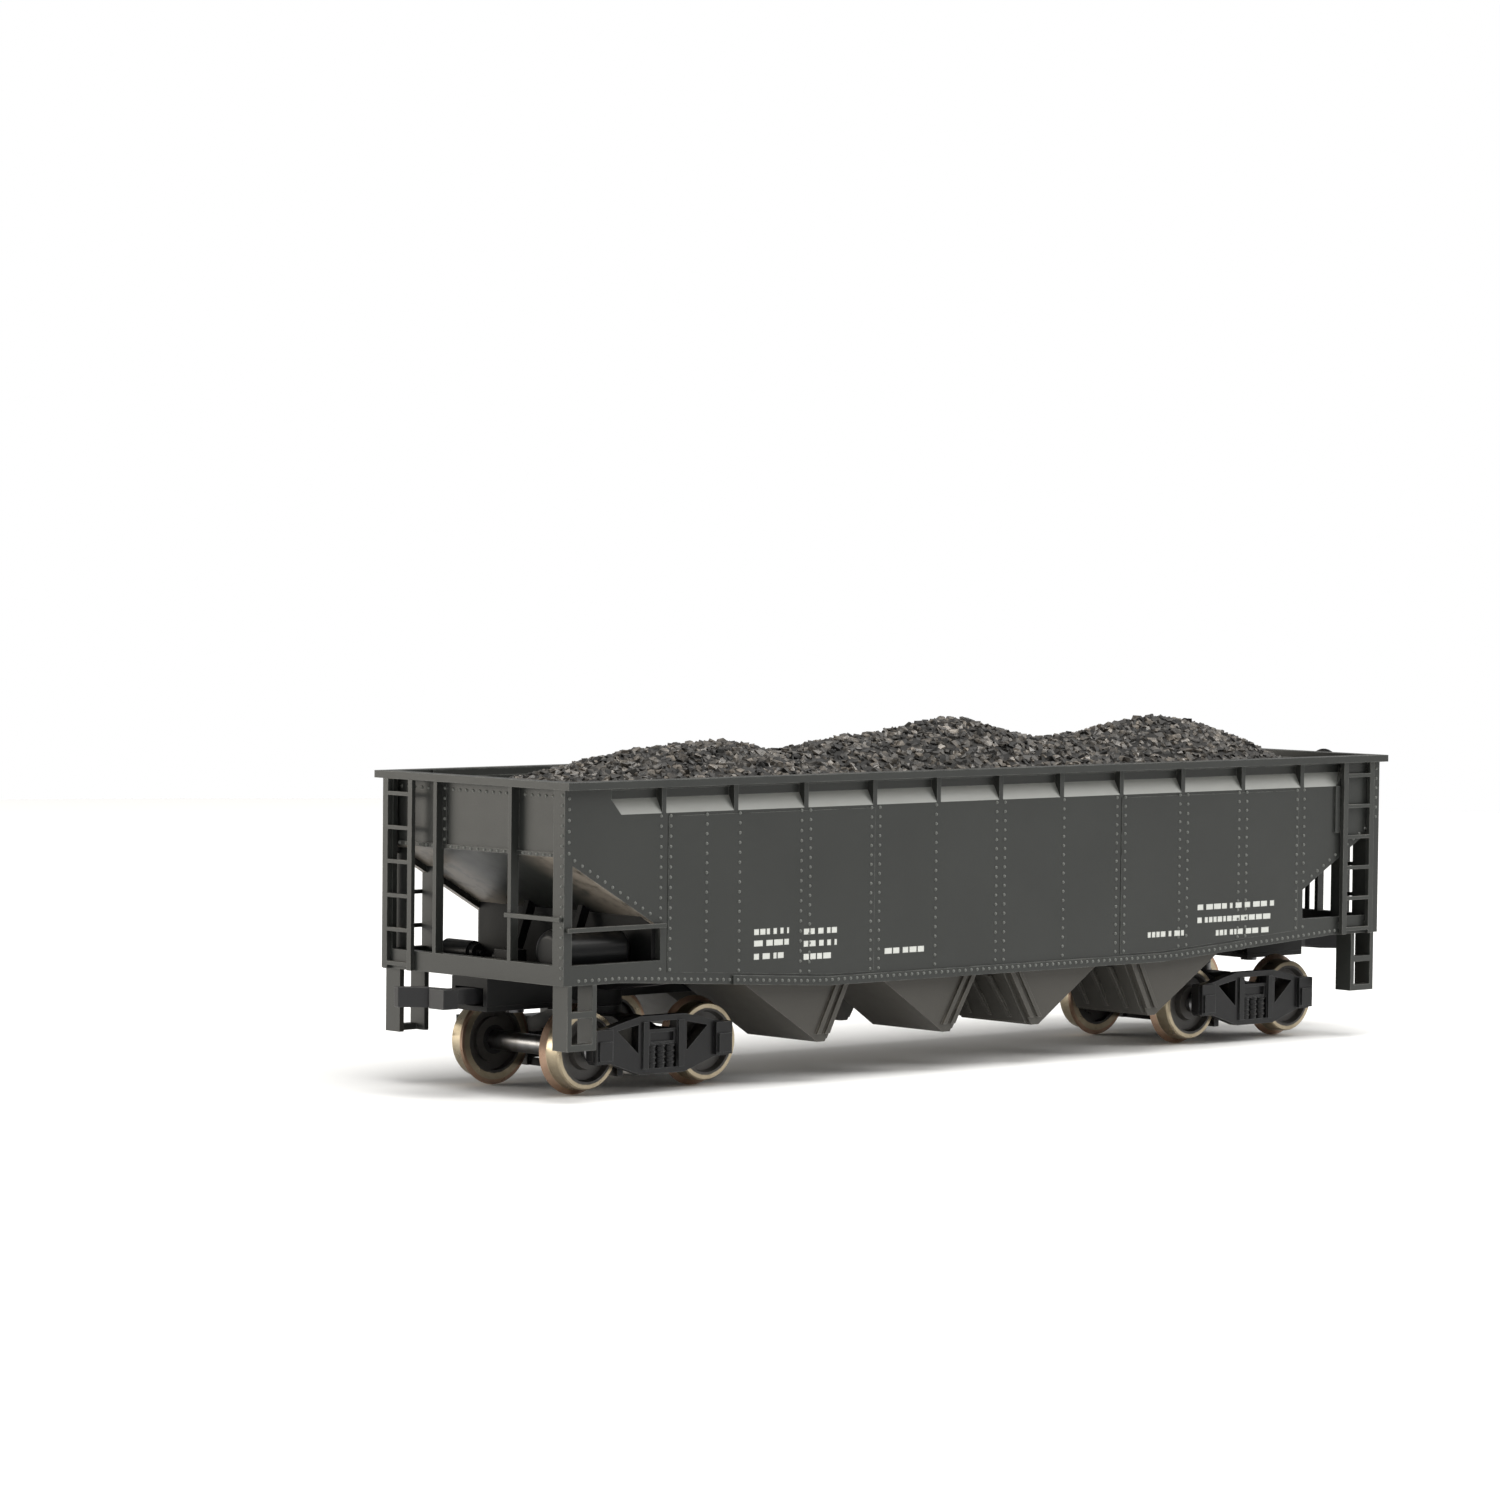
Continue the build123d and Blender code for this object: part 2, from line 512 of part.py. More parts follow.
def door(bay):
    """Near half of one bay's door: a plate against the steep side, with three ribs."""
    _, _, high, _ = bay_corners(bay)
    steep = bay_slopes(bay)[1]
    out = DOOR_THICKNESS / sin(atan2(steep, 1))
    z0 = OUTLET_BOTTOM + DOOR_FOOT
    z1 = FLOOR - DOOR_HEAD
    x0 = high + (z0 - OUTLET_BOTTOM) / steep
    x1 = high + (z1 - OUTLET_BOTTOM) / steep
    y0 = -CHUTE_OUTER_Y + DOOR_MARGIN
    y1 = -CHUTE_INNER_Y - DOOR_MARGIN
    plate = along_y([(x0, z0), (x0 + out, z0), (x1 + out, z1), (x1, z1)], y0, y1)
    rib = [(x0 + out, z0 + DOOR_RIB), (x0 + 2 * out, z0 + DOOR_RIB), (x1 + 2 * out, z1 - DOOR_RIB),
           (x1 + out, z1 - DOOR_RIB)]
    for share in (0.2, 0.5, 0.8):
        y = y0 + share * (y1 - y0)
        plate += along_y(rib, y - DOOR_RIB / 2, y + DOOR_RIB / 2)
    return plate


def bay_pieces(make, bay, flip):
    near = make(bay)
    if flip:
        near = other_end(near)
    return [near, other_side(near)]


# ================================================================ load and ballast
def coal_load():
    """Moulded load: three mounds along the car, peaked along its middle, with a flat under side."""
    sections = []
    for x, crest in CREST:
        half = LOAD_HALF_WIDTH
        outline = [(-half, LOAD_BOTTOM), (half, LOAD_BOTTOM), (half, LOAD_EDGE)]
        outline += [(y, LOAD_EDGE + share * (crest - LOAD_EDGE)) for y, share in FALL]
        outline.append((-half, LOAD_EDGE))
        sections.append(make_face(Plane.YZ.offset(x) * Polyline(*outline, close=True)))
    return loft(sections, ruled=True)


def steel_ballast():
    bottom = FLOOR + HOOD_HEIGHT
    return block(-BALLAST_HALF_LENGTH, BALLAST_HALF_LENGTH, -BALLAST_HALF_WIDTH,
                 BALLAST_HALF_WIDTH, bottom, bottom + BALLAST_THICKNESS)


# ================================================================ underframe
def draft_box():
    """End A: walled box, open below and to the front, with the coupler's pivot post."""
    half = DRAFT_BOX_HALF_WIDTH
    bottom = DRAFT_BOX_BOTTOM + LID_THICKNESS
    box = block(-DRAFT_BOX_OUTER, -DRAFT_BOX_INNER, -half, half, bottom, DRAFT_BOX_TOP)
    room_top = COUPLER_HEIGHT + SHANK / 2 + COUPLER_GAP
    box -= block(-DRAFT_BOX_OUTER - 1, -DRAFT_BOX_INNER - DRAFT_BOX_WALL, -half + DRAFT_BOX_WALL,
                 half - DRAFT_BOX_WALL, bottom - 1, room_top)
    box += rod_z(PIVOT_RADIUS, -COUPLER_PIVOT, 0, bottom, room_top)
    return box - rod_z(LID_SCREW_RADIUS, -COUPLER_PIVOT, 0, bottom, room_top)


def end_platform():
    """End A: shelf under the slope plate, bolster, bearing and two braces up to the slope."""
    inner = SHEET_INNER
    edge = -BODY_HALF_LENGTH + END_SILL
    shelf_end = -TRUCK_CENTRE + BOLSTER_HALF_LENGTH
    shelf = block(edge, shelf_end, -inner, inner, SILL_BOTTOM_END, SHELF_TOP)
    shelf += block(-DRAFT_BOX_OUTER, -DRAFT_BOX_INNER, -DRAFT_BOX_HALF_WIDTH,
                   DRAFT_BOX_HALF_WIDTH, DRAFT_BOX_TOP, SILL_BOTTOM_END)
    arm_end = SILL_BOTTOM_END - BOLSTER_END_DEPTH
    level = BEARING_RADIUS + 1
    arm = [(-inner, SHELF_TOP), (inner, SHELF_TOP), (inner, arm_end), (level, BOLSTER_BOTTOM),
           (-level, BOLSTER_BOTTOM), (-inner, arm_end)]
    arm_start = -TRUCK_CENTRE - BOLSTER_HALF_LENGTH
    shelf += along_x(arm, arm_start, arm_start + 2 * BOLSTER_HALF_LENGTH)
    shelf += rod_z(BEARING_RADIUS, -TRUCK_CENTRE, 0, BEARING_TOP, SHELF_TOP)
    top = BRACE_FOOT + BRACE_LEAN
    strut = [(BRACE_FOOT, SILL_BOTTOM_END), (BRACE_FOOT + BRACE_WIDTH, SILL_BOTTOM_END),
             (top + BRACE_WIDTH, slope_under(top + BRACE_WIDTH)), (top, slope_under(top))]
    for y in (-BRACE_Y, BRACE_Y):
        shelf += along_y(strut, y - BRACE / 2, y + BRACE / 2)
    x0, x1 = -BULKHEAD_X, -BULKHEAD_X + BULKHEAD
    wall = [(x0, SILL_BOTTOM_END), (x1, SILL_BOTTOM_END), (x1, slope_under(x1)), (x0, slope_under(x0))]
    return shelf + along_y(wall, -inner, inner)


def underframe():
    half = CENTRE_SILL_HALF_WIDTH
    sill = block(-DRAFT_BOX_INNER, DRAFT_BOX_INNER, -half, half, CENTRE_SILL_BOTTOM, FLOOR)
    end = draft_box() + end_platform()
    frame = joined([sill, end, turned(end)])
    for x in (-TRUCK_CENTRE, TRUCK_CENTRE):
        frame -= rod_z(SCREW_RADIUS, x, 0, BEARING_TOP - 1, SCREW_TOP)
    return frame


def draft_lid():
    half = DRAFT_BOX_HALF_WIDTH
    lid = block(-DRAFT_BOX_OUTER, -DRAFT_BOX_INNER, -half, half, DRAFT_BOX_BOTTOM,
                DRAFT_BOX_BOTTOM + LID_THICKNESS)
    return lid - rod_z(LID_SCREW_RADIUS, -COUPLER_PIVOT, 0, DRAFT_BOX_BOTTOM - 1, DRAFT_BOX_BOTTOM + 2)


def lid_screw():
    bottom = DRAFT_BOX_BOTTOM - LID_SCREW_HEAD_HEIGHT
    head = rod_z(LID_SCREW_HEAD, -COUPLER_PIVOT, 0, bottom, DRAFT_BOX_BOTTOM)
    slot = LID_SCREW_SLOT
    head -= block(-COUPLER_PIVOT - 2, -COUPLER_PIVOT + 2, -slot, slot, bottom - 1, bottom + 2 * slot)
    return head + rod_z(LID_SCREW_RADIUS, -COUPLER_PIVOT, 0, DRAFT_BOX_BOTTOM, COUPLER_HEIGHT)


def coupler():
    """End A: hook with a guide horn on a flat shank that swings on an eye."""
    low = COUPLER_HEIGHT - SHANK / 2
    high = COUPLER_HEIGHT + SHANK / 2
    u = COUPLER_PIVOT
    w = SHANK_HALF_WIDTH
    head = [(-u - x, y) for x, y in COUPLER_HEAD]
    hook = along_z([(-u, w)] + head + [(-u, -w)], low, high)
    thick = [(x, y) for x, y in head if x < -u - COUPLER_NECK]
    hook += along_z(thick, low - HEAD_EXTRA, high + HEAD_EXTRA)
    hook += rod_z(COUPLER_EYE_RADIUS, -u, 0, low, high)
    return hook - rod_z(PIVOT_RADIUS + PIVOT_CLEARANCE, -u, 0, low - 1, high + 1)


def centring_spring():
    """Flat bronze leaf that stands across the box behind the coupler's eye."""
    half = DRAFT_BOX_HALF_WIDTH - DRAFT_BOX_WALL
    x = -COUPLER_PIVOT + COUPLER_EYE_RADIUS + COUPLER_GAP
    tall = SPRING_HALF_HEIGHT
    return block(x, x + SPRING_THICKNESS, -half, half, COUPLER_HEIGHT - tall, COUPLER_HEIGHT + tall)


# ================================================================ trucks
def truck_side():
    """Near side frame about the truck's own centre: cast truss, journal boxes and springs."""
    half = WHEELBASE / 2
    z = AXLE_HEIGHT
    right = list(FRAME_OUTLINE)
    outline = right + [(-x, zz) for x, zz in reversed(right[1:-1])]
    side = along_y(outline, -FRAME_OUTER_Y, -FRAME_INNER_Y)
    for sign in (-1, 1):
        hole = [(sign * x, zz) for x, zz in FRAME_OPENING]
        side -= along_y(hole, -FRAME_OUTER_Y - 1, -FRAME_INNER_Y + 1)
    w = WINDOW_HALF_WIDTH
    side -= block(-w, w, -FRAME_OUTER_Y - 1, -FRAME_INNER_Y + 1, WINDOW_BOTTOM, WINDOW_TOP)
    for i in (-1, 0, 1):
        side += rod_z(SPRING_RADIUS, i * SPRING_PITCH, -(FRAME_INNER_Y + FRAME_OUTER_Y) / 2,
                      WINDOW_BOTTOM - FRAME_JOIN, BOLSTER_END_BOTTOM + FRAME_JOIN)
    inner, outer = COLUMN_PLATE
    for sign in (-1, 1):
        side += block(sign * inner, sign * outer, -FRAME_OUTER_Y - JOURNAL_LID, -FRAME_OUTER_Y,
                      WINDOW_BOTTOM, WINDOW_TOP)
        x = sign * half
        side += block(x - JOURNAL_HALF_WIDTH, x + JOURNAL_HALF_WIDTH, -JOURNAL_OUTER_Y, -FRAME_INNER_Y,
                      z - JOURNAL_BELOW, z + JOURNAL_ABOVE)
        side += block(x - JOURNAL_LID_HALF_WIDTH, x + JOURNAL_LID_HALF_WIDTH,
                      -JOURNAL_OUTER_Y - JOURNAL_LID, -JOURNAL_OUTER_Y, z - JOURNAL_BELOW + JOURNAL_LID,
                      z + JOURNAL_BELOW)
    return side


def truck_bolster():
    """Beam across the truck, bent down to its ends, which show a shallow pocket."""
    end = FRAME_OUTER_Y - BOLSTER_END_INSET
    low, top = BOLSTER_END_BOTTOM, BOLSTER_END_TOP
    right = [(BOLSTER_LEVEL_Y, TRUCK_BOLSTER_TOP), (BOLSTER_BENT_Y, top), (end, top), (end, low),
             (BOLSTER_BENT_Y, low), (BOLSTER_LEVEL_Y, TRUCK_BOLSTER_BOTTOM)]
    outline = right + [(-y, z) for y, z in reversed(right)]
    w = WINDOW_HALF_WIDTH
    beam = along_x(outline, -w, w)
    edge = BOLSTER_POCKET
    for side in (-1, 1):
        beam -= block(-w + edge, w - edge, side * (end - edge), side * (end + 1), low + edge, top - edge)
    return beam


def truck_frame():
    near = truck_side()
    frame = joined([near, other_side(near), truck_bolster()])
    frame += rod_z(BEARING_RADIUS, 0, 0, TRUCK_BOLSTER_TOP - 1, BEARING_TOP - BEARING_GAP)
    t = BRAKE_BEAM / 2
    for sign in (-1, 1):
        x = sign * (BRAKE_SHOE_X - BRAKE_BEAM)
        frame += block(x - t, x + t, -BRAKE_BEAM_Y, BRAKE_BEAM_Y, BRAKE_BEAM_BOTTOM, BRAKE_BEAM_TOP)
        for y in (-BRAKE_HANGER_Y, BRAKE_HANGER_Y):
            frame += block(x + sign * t, sign * (WINDOW_HALF_WIDTH - t), y - t, y + t,
                           BRAKE_BEAM_BOTTOM + t, TRUCK_BOLSTER_BOTTOM + t)
        shoe = [(x, BRAKE_BEAM_BOTTOM), (sign * BRAKE_SHOE_X, BRAKE_BEAM_BOTTOM),
                (sign * BRAKE_SHOE_X, BRAKE_SHOE_TOP), (x, BRAKE_SHOE_TOP)]
        for y in (-BRAKE_SHOE_Y, BRAKE_SHOE_Y):
            frame += along_y(shoe, y - BRAKE_BEAM, y + BRAKE_BEAM)
    for x in (-WHEELBASE / 2, WHEELBASE / 2):
        for sign in (-1, 1):
            frame -= axle_cone(sign, BEARING_PLAY, x)
    hole = SCREW_RADIUS + SCREW_CLEARANCE
    return frame - rod_z(hole, 0, 0, TRUCK_BOLSTER_BOTTOM - 1, BEARING_TOP + 1)


def axle_cone(sign, shift, x=0.0):
    """Pointed end of an axle, or the matching bearing cone when it is shifted outwards."""
    start = AXLE_HALF_LENGTH - AXLE_CONE + shift
    middle = start + AXLE_CONE / 2
    return Pos(x, sign * middle, AXLE_HEIGHT) * Rot(-90 * sign, 0, 0) * Cone(AXLE_RADIUS, AXLE_TIP,
                                                                            AXLE_CONE)


def axle():
    straight = AXLE_HALF_LENGTH - AXLE_CONE
    shaft = rod_y(AXLE_RADIUS, 0, AXLE_HEIGHT, -straight, straight)
    return joined([shaft, axle_cone(-1, 0), axle_cone(1, 0)])


def wheel(bore):
    """Far wheel: coned tread, flange inside, dished web and hub."""
    r = TREAD_RADIUS
    tip = r + FLANGE_DEPTH
    back = WHEEL_BACK
    face = back + WHEEL_WIDTH
    hub = bore + WHEEL_HUB
    dish = face - WHEEL_DISH
    round_by = FLANGE_DEPTH * 0.3
    tyre = r - WHEEL_RIM
    outline = [(bore, back + round_by), (hub, back + round_by), (hub, back + WHEEL_DISH),
               (tyre, back + WHEEL_DISH), (tyre, back), (tip - round_by, back), (tip, back + round_by),
               (tip - round_by, back + 2 * round_by), (r + TREAD_CONE, back + FLANGE_WIDTH),
               (r - TREAD_CONE, face - round_by), (r - round_by, face), (tyre, face),
               (tyre - round_by, dish), (hub + round_by, dish), (hub, face), (bore, face)]
    profile = make_face(Plane.XY * Polyline(*outline, close=True))
    return Pos(0, 0, AXLE_HEIGHT) * revolve(profile, Axis.Y)


def wheel_pair():
    far = wheel(AXLE_RADIUS + BUSH_WALL)
    near = other_side(wheel(AXLE_RADIUS))
    return [near, far]


def wheel_bush():
    y0 = WHEEL_BACK + 0.2
    y1 = WHEEL_BACK + WHEEL_WIDTH
    outer = rod_y(AXLE_RADIUS + BUSH_WALL, 0, AXLE_HEIGHT, y0, y1)
    return outer - rod_y(AXLE_RADIUS, 0, AXLE_HEIGHT, y0 - 1, y1 + 1)


def truck_screw():
    top = TRUCK_BOLSTER_BOTTOM - BEARING_GAP
    head = rod_z(SCREW_HEAD_RADIUS, 0, 0, top - SCREW_HEAD_HEIGHT, top)
    head -= block(-SCREW_HEAD_RADIUS, SCREW_HEAD_RADIUS, -0.25, 0.25, top - 2, top - 0.5)
    return head + rod_z(SCREW_RADIUS, 0, 0, top, SCREW_TOP)


# ================================================================ ladders, steps and rails
def side_ladder():
    """Near side at end B: flat stiles stood off the side, with square rungs."""
    y1 = -BODY_HALF_WIDTH - LADDER_STAND_OFF
    y0 = y1 - LADDER_THICKNESS
    left = SIDE_LADDER_X - SIDE_LADDER_HALF_WIDTH
    right = SIDE_LADDER_X + SIDE_LADDER_HALF_WIDTH
    pieces = []
    for x in (left, right - SIDE_STILE):
        pieces.append(block(x, x + SIDE_STILE, y0, y1, SILL_BOTTOM_END, CHORD_UNDER))
        for z in (SILL_BOTTOM_END + LADDER_FOOT, CHORD_UNDER - 2 * LADDER_FOOT):
            pieces.append(block(x, x + SIDE_STILE, y1 - LADDER_STAND_OFF, -BODY_HALF_WIDTH, z,
                                z + LADDER_FOOT))
    for i in range(RUNGS):
        z = LOWEST_RUNG + i * RUNG_PITCH
        pieces.append(block(left, right, y0, y0 + RUNG, z - RUNG / 2, z + RUNG / 2))
    return joined(pieces)


def end_ladder():
    """End A, far corner: the same ladder fastened to the corner post and the end sill."""
    x1 = -BODY_HALF_LENGTH
    x0 = x1 - LADDER_THICKNESS
    left = END_LADDER_Y - END_LADDER_HALF_WIDTH
    right = END_LADDER_Y + END_LADDER_HALF_WIDTH
    pieces = []
    for y in (left, right - END_STILE):
        pieces.append(block(x0, x1, y, y + END_STILE, SILL_BOTTOM_END, CHORD_UNDER))
    for i in range(RUNGS):
        z = LOWEST_RUNG + i * RUNG_PITCH
        pieces.append(block(x0, x0 + RUNG, left, right, z - RUNG / 2, z + RUNG / 2))
    return joined(pieces)


def stirrup(x):
    """Two-step stirrup under the near sill: deep plate legs with narrow steps at their face."""
    y0 = -BODY_HALF_WIDTH
    half = STIRRUP_HALF_WIDTH
    middle = (STIRRUP_BOTTOM + SILL_BOTTOM_END) / 2
    pieces = []
    for side in (-1, 1):
        outer = x + side * half
        pieces.append(block(outer, outer - side * STIRRUP_LEG, y0, y0 + STIRRUP_LEG_DEPTH, STIRRUP_BOTTOM,
                            SILL_BOTTOM_END))
    for z in (STIRRUP_BOTTOM, middle):
        pieces.append(block(x - half, x + half, y0, y0 + STIRRUP_STEP_DEPTH, z, z + STIRRUP_STEP))
    return joined(pieces)


def side_rail():
    """End A, near side: level bar across the side's opening."""
    y1 = -BODY_HALF_WIDTH
    return block(-BODY_HALF_LENGTH + RAIL_END, -CUT_OUT_INNER + RAIL_OVERLAP, y1 - HAND_RAIL, y1,
                 SIDE_RAIL_HEIGHT - HAND_RAIL / 2, SIDE_RAIL_HEIGHT + HAND_RAIL / 2)


def end_rail():
    """End A: level bar from the near end post to the near corner post."""
    x1 = -BODY_HALF_LENGTH
    return block(x1 - HAND_RAIL, x1, -BODY_HALF_WIDTH + RAIL_END, -END_POST_Y + END_POST / 2,
                 END_RAIL_HEIGHT - HAND_RAIL / 2, END_RAIL_HEIGHT + HAND_RAIL / 2)


# ================================================================ brake gear
def brake_wheel():
    """Hand wheel with five spokes, facing out of end B."""
    place = Pos(BRAKE_WHEEL_X, BRAKE_WHEEL_Y, BRAKE_WHEEL_Z) * Rot(0, 90, 0)
    reach = BRAKE_WHEEL_RADIUS - BRAKE_WHEEL_RIM
    spoke = Pos(reach / 2, 0, 0) * Box(reach, BRAKE_SPOKE, BRAKE_SPOKE)
    spokes = [Rot(0, 0, 360 / BRAKE_SPOKES * i) * spoke for i in range(BRAKE_SPOKES)]
    return place * joined([Torus(reach, BRAKE_WHEEL_RIM), Cylinder(BRAKE_HUB_RADIUS, BRAKE_HUB)] + spokes)


def brake_housing():
    """Gear box between the end posts, with the hand wheel's stub shaft."""
    x1 = BRAKE_WHEEL_X - HOUSING_GAP
    y, z = BRAKE_WHEEL_Y, BRAKE_WHEEL_Z
    box = block(PANEL_FACE, x1, y - HOUSING_LEFT, y + HOUSING_RIGHT, z - HOUSING_BELOW, z + HOUSING_ABOVE)
    return box + rod_x(BRAKE_SHAFT_RADIUS, y, z, x1, BRAKE_WHEEL_X - BRAKE_HUB / 2)


def brake_rod():
    """Upright rod from the housing to the end sill, just clear of the end panel."""
    y = BRAKE_WHEEL_Y + BRAKE_ROD_RADIUS
    x = BODY_HALF_LENGTH - BRAKE_ROD_RADIUS
    return rod_z(BRAKE_ROD_RADIUS, x, y, SILL_TOP, BRAKE_WHEEL_Z - HOUSING_BELOW)


def brake_platform():
    """Step under the hand wheel, on the end posts."""
    x0 = BODY_HALF_LENGTH
    z = PANEL_BOTTOM - PLATFORM_DROP
    y0 = -END_POST_Y - (PLATFORM_WIDTH / 5)
    step = block(x0, x0 + PLATFORM_DEPTH, y0, y0 + PLATFORM_WIDTH, z, z + PLATFORM)
    web = [(x0, z), (x0 + PLATFORM_DEPTH - PLATFORM, z), (x0, z - PLATFORM_WEB_HEIGHT)]
    y = -END_POST_Y
    return step + along_y(web, y - PLATFORM_WEB / 2, y + PLATFORM_WEB / 2)


def air_reservoir():
    """Round-ended tank that lies along the near side on the shelf at end A."""
    tank = rod_x(RESERVOIR_RADIUS, RESERVOIR_Y, SHELF_TOP + RESERVOIR_RADIUS, *RESERVOIR_X)
    return fillet(tank.edges().filter_by(GeomType.CIRCLE), RESERVOIR_ROUND)


def brake_cylinder():
    """Cylinder on the far side of the shelf at end A, its neck and push rod towards the middle."""
    z = SHELF_TOP + CYLINDER_RADIUS
    y = CYLINDER_Y
    can = rod_y(CYLINDER_RADIUS, CYLINDER_X, z, y, y + CYLINDER_LENGTH)
    can += rod_y(CYLINDER_RADIUS - CYLINDER_ROD_RADIUS, CYLINDER_X, z, y - CYLINDER_NECK, y)
    return can + rod_y(CYLINDER_ROD_RADIUS, CYLINDER_X, z, y - CYLINDER_ROD, y)


def control_valve():
    """Small block with a round port in the middle of the shelf at end A."""
    y0, y1 = VALVE_Y
    half = (y1 - y0) / 2
    valve = block(VALVE_X - half, VALVE_X + half, y0, y1, SHELF_TOP, SHELF_TOP + VALVE_HEIGHT)
    return valve + rod_y(VALVE_PORT / 2, VALVE_X, SHELF_TOP + VALVE_PORT, y1, y1 + VALVE_PORT)


# ================================================================ every piece in its place
def at(x, shape):
    return Pos(x, 0, 0) * shape


def build_all():
    nodes = {
        "body_shell": [body_shell()],
        "underframe": [underframe()],
        "steel_ballast": [steel_ballast()],
        "coal_load": [coal_load()],
    }
    bays = ((OUTER_BAY, False), (INNER_BAY, False), (INNER_BAY, True), (OUTER_BAY, True))
    for number, (bay, flip) in enumerate(bays, start=1):
        nodes[f"hopper_chute_{number}"] = bay_pieces(chute, bay, flip)
        nodes[f"hopper_door_{number}"] = bay_pieces(door, bay, flip)
    for end, x in (("a", -TRUCK_CENTRE), ("b", TRUCK_CENTRE)):
        nodes[f"truck_frame_{end}"] = [at(x, truck_frame())]
    nodes["truck_screws"] = [at(x, truck_screw()) for x in (-TRUCK_CENTRE, TRUCK_CENTRE)]
    axles = [centre + side * WHEELBASE / 2 for centre in (-TRUCK_CENTRE, TRUCK_CENTRE)
             for side in (-1, 1)]
    for number, x in enumerate(axles, start=1):
        nodes[f"axle_{number}"] = [at(x, axle())]
        nodes[f"wheels_{number}"] = [at(x, w) for w in wheel_pair()]
        nodes[f"wheel_bush_{number}"] = [at(x, wheel_bush())]
    for end, place in (("a", lambda shape: shape), ("b", turned)):
        nodes[f"coupler_{end}"] = [place(coupler())]
        nodes[f"centring_spring_{end}"] = [place(centring_spring())]
        nodes[f"draft_lid_{end}"] = [place(draft_lid())]
        nodes[f"end_ladder_{end}"] = [place(end_ladder())]
        nodes[f"side_rail_{end}"] = [place(side_rail())]
        nodes[f"end_rail_{end}"] = [place(end_rail())]
    nodes["lid_screws"] = [lid_screw(), turned(lid_screw())]
    nodes["side_ladder_a"] = [turned(side_ladder())]
    nodes["side_ladder_b"] = [side_ladder()]
    nodes["stirrup_a_near"] = [stirrup(-STIRRUP_X)]
    nodes["stirrup_a_far"] = [turned(stirrup(STIRRUP_X))]
    nodes["stirrup_b_near"] = [stirrup(STIRRUP_X)]
    nodes["stirrup_b_far"] = [turned(stirrup(-STIRRUP_X))]
    nodes["brake_wheel"] = [brake_wheel()]
    nodes["brake_housing"] = [brake_housing()]
    nodes["brake_rod"] = [brake_rod()]
    nodes["brake_platform"] = [brake_platform()]
    nodes["air_reservoir"] = [air_reservoir()]
    nodes["brake_cylinder"] = [brake_cylinder()]
    nodes["control_valve"] = [control_valve()]
    return nodes


os.makedirs("parts", exist_ok=True)
for name, shapes in build_all().items():
    solids = [solid for shape in shapes for solid in shape.solids()]
    export_step(Compound(children=solids), f"parts/{name}.step")
    print(name, len(solids), round(sum(solid.volume for solid in solids), 2))
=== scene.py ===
"""Looks for an HO scale four-bay hopper car: satin painted mouldings, loose coal, blackened trucks and turned brass
wheels, standing on a plain pale floor. All lengths are in metres, in the car's own frame: X along the car, Z up."""
import math
import random

import bmesh
import bpy
from mathutils import Matrix, Vector
from mathutils.bvhtree import BVHTree


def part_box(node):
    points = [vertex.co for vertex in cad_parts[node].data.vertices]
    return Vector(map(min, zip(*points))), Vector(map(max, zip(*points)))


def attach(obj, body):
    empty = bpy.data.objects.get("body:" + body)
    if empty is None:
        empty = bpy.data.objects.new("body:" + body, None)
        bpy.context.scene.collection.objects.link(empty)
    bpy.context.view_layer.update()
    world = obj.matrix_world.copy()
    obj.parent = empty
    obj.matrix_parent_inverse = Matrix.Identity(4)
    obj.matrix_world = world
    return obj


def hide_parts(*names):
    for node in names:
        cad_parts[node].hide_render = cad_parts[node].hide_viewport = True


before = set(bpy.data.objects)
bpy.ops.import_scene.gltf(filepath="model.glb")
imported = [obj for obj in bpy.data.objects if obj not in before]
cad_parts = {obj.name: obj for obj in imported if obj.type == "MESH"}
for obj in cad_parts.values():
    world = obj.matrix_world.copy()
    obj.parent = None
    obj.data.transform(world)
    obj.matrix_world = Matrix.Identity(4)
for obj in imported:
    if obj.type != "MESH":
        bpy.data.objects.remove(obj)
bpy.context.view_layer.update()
MM = 0.001

# ------------------------------------------------------------------ body moulding
# One styrene moulding: sides, rim, end panels, slope plates and posts, sprayed a satin dark grey. The edges
# have the small radius a mould leaves, and the paint thins over them; their paler line is also a painted highlight.


def put(tree, kind, settings=(), **sockets):
    """A node of a kind, with settings as attributes and sockets as values or links."""
    made = tree.nodes.new(kind)
    for name, value in dict(settings).items():
        setattr(made, name, value)
    for name, value in sockets.items():
        key = int(name[1:]) if name[0] == "_" else name.replace("_", " ")
        if isinstance(value, bpy.types.NodeSocket):
            tree.links.new(value, made.inputs[key])
        else:
            made.inputs[key].default_value = value
    return made


def math_of(tree, operation, first, second=0.0):
    return put(tree, "ShaderNodeMath", {"operation": operation}, _0=first, _1=second).outputs[0]


def ramp_of(tree, value, low, high):
    return put(
        tree, "ShaderNodeMapRange", {"interpolation_type": "SMOOTHSTEP"},
        Value=value, From_Min=low, From_Max=high,
    ).outputs["Result"]


def blend_of(tree, share, below, above):
    return put(
        tree, "ShaderNodeMix", {"data_type": "RGBA", "clamp_factor": True}, _0=share, _6=below, _7=above
    ).outputs[2]


def noise_of(tree, place, scale, detail=2.0, roughness=0.5):
    return put(
        tree, "ShaderNodeTexNoise", Vector=place, Scale=scale, Detail=detail, Roughness=roughness
    ).outputs["Fac"]


def new_group(name, takes, gives):
    group = bpy.data.node_groups.new(name, "ShaderNodeTree")
    for side, sockets in (("INPUT", takes), ("OUTPUT", gives)):
        for label, kind in sockets.items():
            group.interface.new_socket(label, in_out=side, socket_type="NodeSocket" + kind)
    return group, group.nodes.new("NodeGroupInput").outputs, group.nodes.new("NodeGroupOutput").inputs
